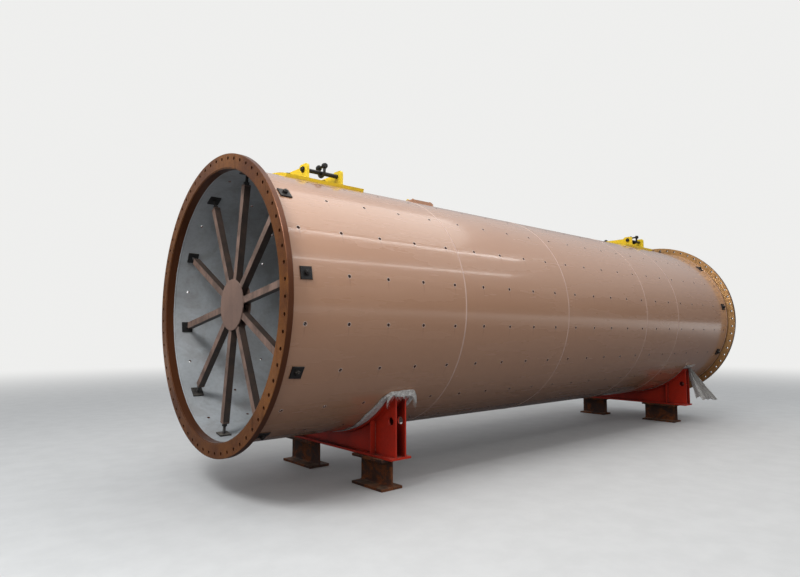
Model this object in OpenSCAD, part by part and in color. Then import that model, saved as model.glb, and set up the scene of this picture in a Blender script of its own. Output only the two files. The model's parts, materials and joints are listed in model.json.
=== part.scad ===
// Ball mill shell on two transport saddles.
// Frame: +X along the mill axis, the near end at -X, the seen side at -Y, +Z up,
// origin on the ground under the middle of the mill. Millimetres.

/* [Shell] */
// Outside diameter of the shell
shell_od = 3030; // [2600:10:3200]
// Wall of the shell plates
shell_wall = 32; // [20:1:45]
// Length over both end flanges
mill_length = 10534; // [10400:2:11000]
// First girth seam, from the near flange face
seam_1_from_near = 2442; // [2400:2:2600]
// Length of the second course
course_2_l = 2135; // [2000:5:2200]
// Length of the third course
course_3_l = 2340; // [2200:5:2400]
// Length of the fourth course
course_4_l = 1200; // [1150:5:1250]

/* [Liner holes] */
// Distance of the end rings of liner holes from the flange faces
ring_margin = 267; // [260:1:280]
// Rings of liner holes along the shell
ring_count = 21; // [19:2:21]
// Liner holes round each ring
row_count = 20; // [20:20:20]
// Diameter of a liner hole
liner_hole_d = 34; // [30:1:42]

/* [End flanges] */
// Width of an end flange outside the shell
flange_reach = 130; // [120:1:150]
// Thickness of an end flange
flange_t = 62; // [40:1:80]
// Distance of the bolt circle from the rim of an end flange
flange_bolt_edge = 52.5; // [48:0.5:60]
// Bolts round an end flange
flange_bolts = 64; // [48:4:72]
// Diameter of a flange bolt hole
flange_hole_d = 38; // [30:1:42]
// Length of the welding neck behind the flange
neck_length = 45; // [30:1:60]
// Depth of the register turned into the flange face
register_depth = 6; // [3:1:12]
// Width of the register
register_width = 11; // [6:1:16]
// Chamfer on the flange rims
flange_chamfer = 4; // [2:1:8]

/* [Bracing spiders] */
// Arms of one spider
arm_count = 10; // [10:10:10]
// Side of the square arm tube
arm_size = 75; // [60:1:80]
// Wall of the arm tube
arm_wall = 6; // [4:1:8]
// Free length of a jack screw between its arm and its foot plate
screw_reach = 115; // [100:5:150]
// Cap plate on the outer end of an arm
arm_cap_t = 12; // [8:1:16]
// Diameter of the hub plates
hub_d = 576; // [480:4:640]
// Thickness of a hub plate
hub_plate_t = 12; // [8:1:16]
// Diameter of the hub core that the arms butt on
hub_core_d = 250; // [246:2:300]
// Diameter of a jack screw
screw_d = 36; // [30:1:42]
// Length of a jack screw inside its arm
screw_tail = 90; // [60:5:120]
// Side of a foot plate inside the shell
foot_side = 130; // [110:2:150]
// Thickness of a foot plate
foot_t = 16; // [12:1:20]
// Diameter of a clamp stud through a liner hole
stud_d = 30; // [24:1:30]
// Side of a clamp plate outside the shell
clamp_side = 130; // [110:2:150]
// Thickness of a clamp plate
clamp_t = 14; // [10:1:20]

/* [Saddles] */
// Distance of the near saddle from the near flange face
near_saddle_from_end = 1730; // [1700:1:1800]
// Distance of the far saddle from the far flange face
far_saddle_from_end = 1292; // [1270:1:1350]
// Width of the base plate along the mill
base_w = 296; // [296:2:310]
// Length of the base plate past each end of the webs
base_margin = 5; // [5:1:40]
// Thickness of the base plate
base_t = 25; // [20:1:32]
// Length of a web across the mill
web_l = 2310; // [2280:10:2330]
// Thickness of a web
web_t = 20; // [16:1:24]
// Clear gap between the two webs
web_gap = 118; // [110:2:126]
// Height of a web under the middle of the shell
web_throat_h = 160; // [150:1:180]
// Width of the rolled cradle plate along the mill
cradle_w = 310; // [300:2:330]
// Thickness of the cradle plate
cradle_t = 20; // [16:1:24]
// Length of the cradle plate's outer corner past the end of the webs
cradle_past_web = 7.7483; // [0:0.0001:20]
// Packing cloth between the cradles and the shell
packing_t = 8; // [6:1:14]
// Width of the near packing cloth along the mill
near_packing_w = 500; // [460:10:540]
// Width of the far packing cloth along the mill
far_packing_w = 300; // [280:10:320]
// Angle of the packing past each end of the cradle plate
packing_past_deg = 3.1; // [1:0.1:5]
// Diameter of a lifting hole in a web
web_hole_d = 90; // [80:1:100]
// Distance of a lifting hole from the end of its web
web_hole_end = 83; // [76:1:90]
// Height of a lifting hole over the base plate
web_hole_h = 395; // [360:1:420]
// Distance of a rib from the middle of the mill
rib_y = 785; // [750:5:840]
// Thickness of a rib
rib_t = 20; // [12:1:25]
// Width of an outer rib
rib_w = 68; // [60:1:69]

/* [Stub beams] */
// Height of a stub beam
stub_h = 348; // [300:1:400]
// Width of a stub beam's flanges
stub_w = 300; // [280:2:320]
// Thickness of a stub beam's flanges
stub_flange_t = 30; // [20:1:36]
// Thickness of a stub beam's web
stub_web_t = 20; // [12:1:30]
// Root radius of a stub beam
stub_root_r = 18; // [10:1:24]
// Distance from the middle of a saddle back to the middle of its stub beams
stub_back = 35; // [25:1:45]
// Length of the near front stub beam across the mill
near_front_stub_l = 565; // [545:5:585]
// Distance of its inner end from the middle of the mill
near_front_inner_y = 480; // [460:5:500]
// Length of the near back stub beam
near_back_stub_l = 690; // [670:5:705]
// Distance of its inner end from the middle of the mill
near_back_inner_y = 450; // [430:5:460]
// Length of the far front stub beam
far_front_stub_l = 650; // [630:5:670]
// Distance of its inner end from the middle of the mill
far_front_inner_y = 295; // [275:5:315]
// Length of the far back stub beam
far_back_stub_l = 565; // [545:5:580]
// Distance of its inner end from the middle of the mill
far_back_inner_y = 575; // [555:5:580]

/* [Lifting brackets] */
// Middle of a bracket past the middle of its two rings of bolts
bracket_past_bolts = 153; // [140:1:160]
// Length of a bracket base past the middle of each lug plate
bracket_end = 308; // [290:1:320]
// Half of the angle that a bracket base covers
bracket_half_deg = 17.5; // [16:0.5:19]
// Thickness of a bracket base
bracket_t = 40; // [30:1:50]
// Distance of the two lug plates, taken off the distance of two rings of bolts
lug_bolt_step = 20; // [10:1:60]
// Thickness of a lug plate
lug_t = 30; // [20:1:40]
// Length of a lug plate across the mill
lug_l = 860; // [820:5:900]
// Width of an ear on a lug plate
ear_w = 175; // [150:5:200]
// Height of an ear over the top of the shell
ear_h = 158; // [150:1:180]
// Height of a lug plate between its ears, over the top of the shell
lug_low_h = 125; // [110:1:140]
// Rounding of the ears
ear_r = 40; // [25:1:60]
// Distance of a lifting pin from the mill's middle plane
pin_y = 345; // [330:1:360]
// Height of a lifting pin over the top of the shell
pin_h = 92; // [80:1:100]
// Diameter of a lifting pin
pin_d = 50; // [40:1:60]
// Length of a pin outside each lug plate
pin_end = 32; // [24:1:40]
// Diameter of a shackle's bow
bow_d = 34; // [24:1:38]
// Clear width inside a shackle
bow_gap = 86; // [70:1:100]
// Height of a shackle's bolt over the lifting pin
bow_h = 120; // [105:1:140]

/* [Manhole] */
// Middle of the manhole, from the near flange face
manhole_from_near = 2967; // [2940:1:2990]
// Length of the manhole frame along the mill
manhole_l = 400; // [360:5:410]
// Width of the manhole frame across the mill
manhole_w = 430; // [400:5:430]
// Width of the frame bars
manhole_bar = 55; // [40:1:70]
// Height of the frame over the shell
manhole_frame_h = 40; // [30:1:50]
// Thickness of the cover plate
manhole_cover_t = 18; // [12:1:25]
// Inside diameter of the cover's lifting eye
eye_d = 36; // [24:1:44]

/* [Hanging cloth] */
// Thickness of the hank where it leaves the saddle
hank_root_d = 36; // [30:2:44]
// Length that hangs down
hank_drop = 600; // [560:10:620]
// Reach of its foot along the mill and away from the saddle
hank_spread = 330; // [300:10:350]
// Thickness of its folds
hank_fold_d = 90; // [70:5:110]

/* [Hidden] */
$fn = 64;
seat = 0.3;
shell_r = shell_od / 2;
bore_r = shell_r - shell_wall;
half_length = mill_length / 2;
shell_end = half_length - flange_t - neck_length;
flange_od = shell_od + 2 * flange_reach;
flange_pcd = flange_od - 2 * flange_bolt_edge;
seam_1_x = seam_1_from_near - half_length;
seam_2_x = seam_1_x + course_2_l;
seam_3_x = seam_2_x + course_3_l;
seam_4_x = seam_3_x + course_4_l;
near_saddle_x = near_saddle_from_end - half_length;
far_saddle_x = half_length - far_saddle_from_end;
manhole_x = manhole_from_near - half_length;
ring_end_x = half_length - ring_margin;
ring_pitch = 2 * ring_end_x / (ring_count - 1);
near_bracket_x = 1.5 * ring_pitch - ring_end_x + bracket_past_bolts;
far_bracket_x = ring_end_x - 2.5 * ring_pitch - bracket_past_bolts;
lug_pitch = ring_pitch - lug_bolt_step;
bracket_l = lug_pitch + 2 * bracket_end;
row_deg = 360 / row_count;
arm_step_deg = 360 / arm_count;
first_arm_deg = row_deg / 2;
saddle_top_r = shell_r + packing_t;
cradle_out_r = saddle_top_r + cradle_t;
base_top_z = stub_h + base_t;
base_l = web_l + 2 * base_margin;
web_blank_h = web_throat_h + cradle_out_r;
axis_z = base_top_z + web_blank_h;
cradle_half_deg = asin((web_l / 2 + cradle_past_web) / cradle_out_r);
packing_half_deg = cradle_half_deg + packing_past_deg;
web_x = (web_gap + web_t) / 2;
web_outer_x = web_gap / 2 + web_t;
foot_out_r = sqrt(bore_r * bore_r - foot_side * foot_side / 4) - seat;
foot_in_r = foot_out_r - foot_t;
arm_end_r = foot_in_r - screw_reach;
clamp_in_r = shell_r + seat;
clamp_out_r = clamp_in_r + clamp_t;
nut_d = 1.75 * screw_d;
nut_h = 0.8 * screw_d;
stud_nut_d = 1.9 * stud_d;
stud_nut_h = 0.8 * stud_d;
bracket_in_r = shell_r + seat;
bracket_out_r = bracket_in_r + bracket_t;
bracket_bolt_d = liner_hole_d - 4;
bracket_rings_near = [ring_pitch - ring_end_x, 2 * ring_pitch - ring_end_x];
bracket_rings_far = [ring_end_x - 3 * ring_pitch, ring_end_x - 2 * ring_pitch];
hank_y = web_l / 2 + hank_root_d / 2 + seat;
hank_top = [far_saddle_x + web_x, -hank_y, axis_z - (hank_y * cos(cradle_half_deg)
    - hank_root_d / 2 - seat) / sin(cradle_half_deg)];
manhole_in_r = shell_r + seat;
manhole_frame_r = shell_r + manhole_frame_h;
copper = [0.70, 0.56, 0.49];
varnish = [0.55, 0.33, 0.20];
primer = [0.48, 0.38, 0.33];
black = [0.06, 0.06, 0.06];
saddle_red = [0.55, 0.10, 0.06];
rust = [0.33, 0.19, 0.12];
cloth_white = [0.80, 0.78, 0.74];
lift_yellow = [0.92, 0.78, 0.10];

// Places its children on the mill axis, turned so that their +Z runs along +X.
module on_axis() translate([0, 0, axis_z]) rotate([0, 90, 0]) children();

// Mirrors its children to the far end.
module at_far_end() mirror([1, 0, 0]) children();

// Turns its children round the mill axis; their +Z points away from the axis.
module round_axis(angle, x) translate([x, 0, axis_z]) rotate([angle, 0, 0]) children();

module tube_x(x0, x1, outer_r, inner_r) on_axis() translate([0, 0, x0]) difference() {
    cylinder(h = x1 - x0, r = outer_r, $fn = 180);
    translate([0, 0, -1]) cylinder(h = x1 - x0 + 2, r = inner_r, $fn = 180);
}

// A sector of a ring round the mill axis, centred on an angle from the top.
module arc_pad(x0, x1, inner_r, outer_r, middle_deg, half_deg)
    on_axis() rotate([0, 0, 180 + middle_deg - half_deg])
        rotate_extrude(angle = 2 * half_deg, $fn = 180)
            translate([inner_r, x0]) square([outer_r - inner_r, x1 - x0]);

module liner_holes(x0, x1) {
    for (ring = [0 : ring_count - 1]) let (x = ring * ring_pitch - ring_end_x)
        if (x > x0 - liner_hole_d && x < x1 + liner_hole_d)
            for (row = [0 : row_count - 1])
                round_axis((row + 0.5) * row_deg, x) translate([0, 0, bore_r - shell_wall])
                    cylinder(h = 3 * shell_wall, d = liner_hole_d, $fn = 24);
}

module shell_course(x0, x1) color(copper) difference() {
    tube_x(x0, x1, shell_r, bore_r);
    liner_holes(x0, x1);
}

module end_flange() color(varnish) difference() {
    on_axis() rotate_extrude($fn = 180) polygon([
        [bore_r, -shell_end],
        [bore_r, -half_length + register_depth],
        [bore_r + register_width, -half_length + register_depth],
        [bore_r + register_width, -half_length],
        [flange_od / 2 - flange_chamfer, -half_length],
        [flange_od / 2, -half_length + flange_chamfer],
        [flange_od / 2, -half_length + flange_t - flange_chamfer],
        [flange_od / 2 - flange_chamfer, -half_length + flange_t],
        [shell_r + neck_length / 3, -half_length + flange_t],
        [shell_r, -half_length + flange_t + neck_length / 3],
        [shell_r, -shell_end]]);
    for (bolt = [0 : flange_bolts - 1])
        round_axis(bolt * 360 / flange_bolts, -half_length)
            translate([0, 0, flange_pcd / 2]) rotate([0, 90, 0])
                cylinder(h = 3 * flange_t, d = flange_hole_d, center = true, $fn = 24);
}

// Repeats its children on every arm of the near spider.
module on_arms() for (arm = [0 : arm_count - 1])
    round_axis(first_arm_deg + arm * arm_step_deg, -ring_end_x) children();

module spider_hub() color(primer) on_axis() translate([0, 0, -ring_end_x]) {
    for (side = [-1, 1]) translate([0, 0, side * (arm_size + hub_plate_t) / 2])
        cylinder(h = hub_plate_t, d = hub_d, center = true, $fn = 96);
    cylinder(h = arm_size + 1, d = hub_core_d, center = true, $fn = 96);
}

module spider_arms() color(primer) on_arms() let (root_r = hub_core_d / 2 + seat)
    translate([0, 0, root_r]) difference() {
        translate([-arm_size / 2, -arm_size / 2, 0])
            cube([arm_size, arm_size, arm_end_r - root_r]);
        translate([arm_wall - arm_size / 2, arm_wall - arm_size / 2, -1])
            cube([arm_size - 2 * arm_wall, arm_size - 2 * arm_wall,
                arm_end_r - root_r - arm_cap_t + 1]);
        cylinder(h = 2 * arm_end_r, d = screw_d + 2, $fn = 24);
    }

module jack_screws() color(black) on_arms() {
    translate([0, 0, arm_end_r - screw_tail])
        cylinder(h = foot_in_r - arm_end_r + screw_tail, d = screw_d, $fn = 24);
    translate([0, 0, arm_end_r]) cylinder(h = nut_h, d = nut_d, $fn = 6);
}

module foot_plates() color(black) on_arms() {
    translate([0, 0, foot_in_r + foot_t / 2])
        cube([foot_side, foot_side, foot_t], center = true);
    translate([0, 0, foot_out_r - 1])
        cylinder(h = clamp_out_r + stud_nut_h + 12 - foot_out_r, d = stud_d, $fn = 24);
}

module clamp_plates() color(black) on_arms() difference() {
    union() {
        translate([0, 0, clamp_in_r + clamp_t / 2])
            cube([clamp_side, clamp_side, clamp_t], center = true);
        translate([0, 0, clamp_out_r - 1])
            cylinder(h = stud_nut_h + 1, d = stud_nut_d, $fn = 6);
    }
    translate([0, 0, shell_r]) cylinder(h = 200, d = stud_d + 0.6, $fn = 24);
}

module saddle_base(x) color(saddle_red)
    translate([x - base_w / 2, -base_l / 2, stub_h]) cube([base_w, base_l, base_t]);

// The round of the cradle plates, cut out of what stands under them.
module cradle_cut() on_axis() cylinder(h = 2 * mill_length, r = cradle_out_r + seat,
    center = true, $fn = 180);

module saddle_webs(x) color(saddle_red) for (face = [-1, 1]) difference() {
    translate([x + face * web_x - web_t / 2, -web_l / 2, base_top_z])
        cube([web_t, web_l, web_blank_h]);
    cradle_cut();
    for (side = [-1, 1])
        translate([x + face * web_x, side * (web_l / 2 - web_hole_end), base_top_z + web_hole_h])
            rotate([0, 90, 0]) cylinder(h = 3 * web_t, d = web_hole_d, center = true, $fn = 48);
}

module saddle_cradle(x) color(saddle_red)
    arc_pad(x - cradle_w / 2, x + cradle_w / 2, saddle_top_r, cradle_out_r,
        180, cradle_half_deg);

module saddle_ribs(x) color(saddle_red) difference() {
    for (side = [-1, 1]) translate([x, side * rib_y, base_top_z]) {
        for (face = [-1, 1]) translate([face * (web_outer_x + rib_w / 2), 0, web_blank_h / 2])
            cube([rib_w, rib_t, web_blank_h], center = true);
        translate([0, 0, web_blank_h / 2]) cube([web_gap, rib_t, web_blank_h], center = true);
    }
    cradle_cut();
}

module stub_profile() {
    difference() {
        square([stub_w, stub_h], center = true);
        for (side = [-1, 1]) translate([side * (stub_w + stub_web_t) / 4, 0])
            offset(r = stub_root_r) offset(delta = -stub_root_r)
                square([(stub_w - stub_web_t) / 2, stub_h - 2 * stub_flange_t], center = true);
        for (side = [-1, 1]) translate([side * stub_w / 2, 0])
            square([2 * stub_root_r, stub_h - 2 * stub_flange_t], center = true);
    }
}

module stub_beam(x, side, inner_y, length) color(rust)
    translate([x - stub_back, side * (inner_y + length / 2), stub_h / 2]) rotate([90, 0, 0])
        linear_extrude(height = length, center = true) stub_profile();

module packing_cloth(x, width) color(cloth_white)
    arc_pad(x - width / 2, x + width / 2, shell_r + seat, saddle_top_r - seat,
        180, packing_half_deg);

// A stiff hank of cloth that hangs from the far cradle's end and spreads outwards in two folds.
module hanging_cloth() color(cloth_white) translate(hank_top) hull() {
    sphere(d = hank_root_d, $fn = 16);
    for (row = [[0.6, 0.27, 0.6], [1, 0.45, 1]]) for (fold = [1, 2])
        translate([hank_spread * row[fold],
                (hank_root_d - hank_fold_d) / 2 - hank_spread * row[fold], -hank_drop * row[0]])
            sphere(d = hank_fold_d * (fold == 1 ? 1 : 0.8), $fn = 16);
}

module bracket_base(x, rings) color(lift_yellow) difference() {
    arc_pad(x - bracket_l / 2, x + bracket_l / 2, bracket_in_r, bracket_out_r,
        0, bracket_half_deg);
    for (ring = rings) for (side = [-1, 1]) round_axis(side * row_deg / 2, ring)
        cylinder(h = 2 * shell_r, d = bracket_bolt_d + 2, $fn = 24);
}

// One lug plate seen along the mill: two rounded ears and the lower bar between them.
module lug_outline() difference() {
    union() {
        offset(r = ear_r) offset(delta = -ear_r) for (side = [-1, 1])
            translate([side * (lug_l - ear_w) / 2 - ear_w / 2, shell_r - ear_w])
                square([ear_w, ear_h + ear_w]);
        translate([(ear_w - lug_l) / 2, shell_r - ear_w / 2])
            square([lug_l - ear_w, lug_low_h + ear_w / 2]);
    }
    circle(r = bracket_out_r, $fn = 360);
}

module lug_plates(x) color(lift_yellow) for (side = [-1, 1]) difference() {
    translate([x + side * lug_pitch / 2, 0, axis_z]) rotate([90, 0, 90])
        linear_extrude(height = lug_t, center = true) lug_outline();
    lifting_pin_bores(x);
}

module lifting_pin_bores(x) for (side = [-1, 1])
    translate([x, side * pin_y, axis_z + shell_r + pin_h]) rotate([0, 90, 0])
        cylinder(h = 2 * lug_pitch, d = pin_d + 0.6, center = true, $fn = 32);

module lifting_pins(x) color(black) for (side = [-1, 1])
    translate([x, side * pin_y, axis_z + shell_r + pin_h]) rotate([0, 90, 0])
        cylinder(h = lug_pitch + lug_t + 2 * pin_end, d = pin_d, center = true, $fn = 32);

module shackles(x) color(black) for (side = [-1, 1])
    translate([x, side * pin_y, axis_z + shell_r + pin_h - pin_d / 2 - bow_d / 2 - seat])
        shackle();

// One shackle: its bow goes under the lifting pin and its bolt lies across the mill.
module shackle() {
    leg_y = (bow_gap + bow_d) / 2;
    translate([0, 0, leg_y]) rotate([90, 0, 90]) rotate([0, 0, 180])
        rotate_extrude(angle = 180, $fn = 48) translate([leg_y, 0]) circle(d = bow_d, $fn = 24);
    for (end = [-1, 1]) {
        translate([0, end * leg_y, leg_y - 4])
            cylinder(h = bow_h - leg_y + 4, d = 1.15 * bow_d, $fn = 24);
        translate([0, end * leg_y, bow_h]) rotate([90, 0, 0])
            cylinder(h = bow_d, d = 2.2 * bow_d, center = true, $fn = 32);
    }
    translate([0, 0, bow_h]) rotate([90, 0, 0])
        cylinder(h = bow_gap + 4 * bow_d, d = bow_d, center = true, $fn = 24);
    translate([0, -leg_y - bow_d, bow_h]) rotate([90, 0, 0])
        cylinder(h = bow_d * 0.7, d = 1.7 * bow_d, center = true, $fn = 6);
}

module bracket_bolts(rings) color(black) for (ring = rings) for (side = [-1, 1])
    round_axis(side * row_deg / 2, ring) {
        translate([0, 0, bore_r - 40])
            cylinder(h = bracket_out_r - bore_r + 40, d = bracket_bolt_d, $fn = 24);
        translate([0, 0, bracket_out_r]) cylinder(h = 22, d = 1.8 * bracket_bolt_d, $fn = 6);
    }

module manhole_frame() color(copper) difference() {
    translate([manhole_x - manhole_l / 2, -manhole_w / 2, axis_z + shell_r - 60])
        cube([manhole_l, manhole_w, manhole_frame_h + 60]);
    translate([manhole_x - manhole_l / 2 + manhole_bar, -manhole_w / 2 + manhole_bar, axis_z])
        cube([manhole_l - 2 * manhole_bar, manhole_w - 2 * manhole_bar, 2 * shell_r]);
    on_axis() cylinder(h = 2 * mill_length, r = manhole_in_r, center = true, $fn = 180);
}

module manhole_cover() color(copper) translate([manhole_x, 0, axis_z + manhole_frame_r]) {
    translate([-manhole_l / 2 + 12, -manhole_w / 2 + 12, 0])
        cube([manhole_l - 24, manhole_w - 24, manhole_cover_t]);
    translate([-manhole_l / 4, 0, manhole_cover_t + eye_d / 2 + 4]) rotate([90, 0, 0])
        rotate_extrude($fn = 32) translate([eye_d / 2 + 5, 0]) circle(d = 12, $fn = 16);
}

end_flange();  // near_flange
at_far_end() end_flange();  // far_flange
shell_course(-shell_end, seam_1_x);  // shell_course_1
shell_course(seam_1_x, seam_2_x);  // shell_course_2
shell_course(seam_2_x, seam_3_x);  // shell_course_3
shell_course(seam_3_x, seam_4_x);  // shell_course_4
shell_course(seam_4_x, shell_end);  // shell_course_5
spider_hub();  // near_spider_hub
at_far_end() spider_hub();  // far_spider_hub
spider_arms();  // near_spider_arms
at_far_end() spider_arms();  // far_spider_arms
jack_screws();  // near_jack_screws
at_far_end() jack_screws();  // far_jack_screws
foot_plates();  // near_foot_plates
at_far_end() foot_plates();  // far_foot_plates
clamp_plates();  // near_clamp_plates
at_far_end() clamp_plates();  // far_clamp_plates
saddle_base(near_saddle_x);  // near_saddle_base
saddle_base(far_saddle_x);  // far_saddle_base
saddle_webs(near_saddle_x);  // near_saddle_webs
saddle_webs(far_saddle_x);  // far_saddle_webs
saddle_cradle(near_saddle_x);  // near_saddle_cradle
saddle_cradle(far_saddle_x);  // far_saddle_cradle
saddle_ribs(near_saddle_x);  // near_saddle_ribs
saddle_ribs(far_saddle_x);  // far_saddle_ribs
stub_beam(near_saddle_x, -1, near_front_inner_y, near_front_stub_l);  // near_front_stub
stub_beam(near_saddle_x, 1, near_back_inner_y, near_back_stub_l);  // near_back_stub
stub_beam(far_saddle_x, -1, far_front_inner_y, far_front_stub_l);  // far_front_stub
stub_beam(far_saddle_x, 1, far_back_inner_y, far_back_stub_l);  // far_back_stub
packing_cloth(near_saddle_x, near_packing_w);  // near_packing_cloth
packing_cloth(far_saddle_x, far_packing_w);  // far_packing_cloth
hanging_cloth();  // far_hanging_cloth
bracket_base(near_bracket_x, bracket_rings_near);  // near_bracket_base
bracket_base(far_bracket_x, bracket_rings_far);  // far_bracket_base
lug_plates(near_bracket_x);  // near_lug_plates
lug_plates(far_bracket_x);  // far_lug_plates
lifting_pins(near_bracket_x);  // near_lifting_pins
lifting_pins(far_bracket_x);  // far_lifting_pins
shackles(near_bracket_x);  // near_shackles
shackles(far_bracket_x);  // far_shackles
bracket_bolts(bracket_rings_near);  // near_bracket_bolts
bracket_bolts(bracket_rings_far);  // far_bracket_bolts
manhole_frame();
manhole_cover();
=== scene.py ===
"""Ball mill on two saddles: finishes, welds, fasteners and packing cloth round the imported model.

Everything is in metres, in the part's own frame: +X along the mill axis from the near end,
-Y the seen side, +Z up, and the origin on the floor under the middle of the mill.
"""

from __future__ import annotations

import json
import logging
import math
import random
from dataclasses import dataclass
from enum import Enum
from typing import Callable, Iterable, Sequence

import bmesh
import bpy
from mathutils import Matrix, Vector, noise

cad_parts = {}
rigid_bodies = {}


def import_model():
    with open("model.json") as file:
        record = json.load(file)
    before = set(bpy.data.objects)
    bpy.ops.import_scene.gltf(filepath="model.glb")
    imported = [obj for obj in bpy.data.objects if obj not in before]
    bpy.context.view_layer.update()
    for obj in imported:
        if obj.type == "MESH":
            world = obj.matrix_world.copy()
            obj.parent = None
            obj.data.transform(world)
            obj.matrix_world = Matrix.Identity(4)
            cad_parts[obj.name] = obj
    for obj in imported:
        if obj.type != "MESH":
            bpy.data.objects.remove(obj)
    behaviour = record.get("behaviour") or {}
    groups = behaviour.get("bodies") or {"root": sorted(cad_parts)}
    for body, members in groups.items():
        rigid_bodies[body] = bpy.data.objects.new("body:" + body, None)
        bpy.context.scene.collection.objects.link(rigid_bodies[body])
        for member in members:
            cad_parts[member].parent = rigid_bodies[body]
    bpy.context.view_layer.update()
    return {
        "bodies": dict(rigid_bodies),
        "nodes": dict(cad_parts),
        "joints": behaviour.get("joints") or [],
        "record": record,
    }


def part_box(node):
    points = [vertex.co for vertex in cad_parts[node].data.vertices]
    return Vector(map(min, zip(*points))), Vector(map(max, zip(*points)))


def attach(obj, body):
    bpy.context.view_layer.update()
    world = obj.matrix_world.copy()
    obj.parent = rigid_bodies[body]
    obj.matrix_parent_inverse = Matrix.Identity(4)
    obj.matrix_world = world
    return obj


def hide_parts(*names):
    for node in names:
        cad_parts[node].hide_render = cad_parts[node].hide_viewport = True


LOG = logging.getLogger("ball_mill")
BODY = "root"

# The Mix node's colour sockets: factor, first and second colour, and the result.
MIX_INPUTS = (0, 6, 7)
MIX_RESULT = 2
BEVEL_SAMPLES = 4

# How far a weld bead's middle stands off the plate that it lies on.
WELD_LIFT = 0.001

Colour = tuple[float, float, float]
Point = tuple[float, float, float]
Profile = Sequence[tuple[float, float]]


class End(Enum):
    """The two ends of the mill, as the sign of X."""

    NEAR = -1
    FAR = 1


class Side(Enum):
    """The two sides of the mill, as the sign of Y."""

    FRONT = -1
    BACK = 1


def srgb(red: int, green: int, blue: int) -> Colour:
    """Turns a screen colour into the linear values that shaders take.

    Args:
        red: Red, from 0 to 255.
        green: Green, from 0 to 255.
        blue: Blue, from 0 to 255.

    Returns:
        The linear red, green and blue, from 0 to 1.
    """
    parts = [value / 255 for value in (red, green, blue)]
    linear = [v / 12.92 if v <= 0.04045 else ((v + 0.055) / 1.055) ** 2.4 for v in parts]
    return (linear[0], linear[1], linear[2])


@dataclass(frozen=True)
class MillFrame:
    """The main sizes of the mill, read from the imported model."""

    axis_z: float
    shell_r: float
    wall: float = 0.032
    ring_pitch: float = 0.5
    ring_end: float = 5.0
    row_count: int = 20
    hole_r: float = 0.017
    arm_count: int = 10
    first_arm_deg: float = 9.0

    @classmethod
    def measure(cls) -> MillFrame:
        """Reads the axis and the radius from the box of a shell course."""
        low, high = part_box("shell_course_2")
        return cls(axis_z=(low[2] + high[2]) / 2, shell_r=(high[2] - low[2]) / 2)

    @property
    def bore_r(self) -> float:
        """Radius of the shell's inside."""
        return self.shell_r - self.wall

    def radial(self, degrees: float, radius: float, x: float) -> Vector:
        """A point at an angle from the top of the mill, turned toward the seen side.

        Args:
            degrees: Angle from the top, toward -Y.
            radius: Distance from the mill axis.
            x: Place along the mill.

        Returns:
            The point.
        """
        turn = math.radians(degrees)
        return Vector((x, -radius * math.sin(turn), self.axis_z + radius * math.cos(turn)))

    def outward(self, degrees: float, x: float, radius: float, spin: float = 0.0) -> Matrix:
        """A placement on the mill whose Z points away from the axis and whose X runs along it.

        Args:
            degrees: Angle from the top, toward -Y.
            x: Place along the mill.
            radius: Distance of the placement's origin from the axis.
            spin: Turn about the outward direction, in degrees.

        Returns:
            The placement.
        """
        turn = Matrix.Rotation(math.radians(degrees), 4, "X")
        twist = Matrix.Rotation(math.radians(spin), 4, "Z")
        return Matrix.Translation(self.radial(degrees, radius, x)) @ turn @ twist

    def arm_angles(self) -> list[float]:
        """The angles of a spider's arms, from the top toward -Y."""
        return [self.first_arm_deg + 360 / self.arm_count * arm for arm in range(self.arm_count)]


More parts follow.
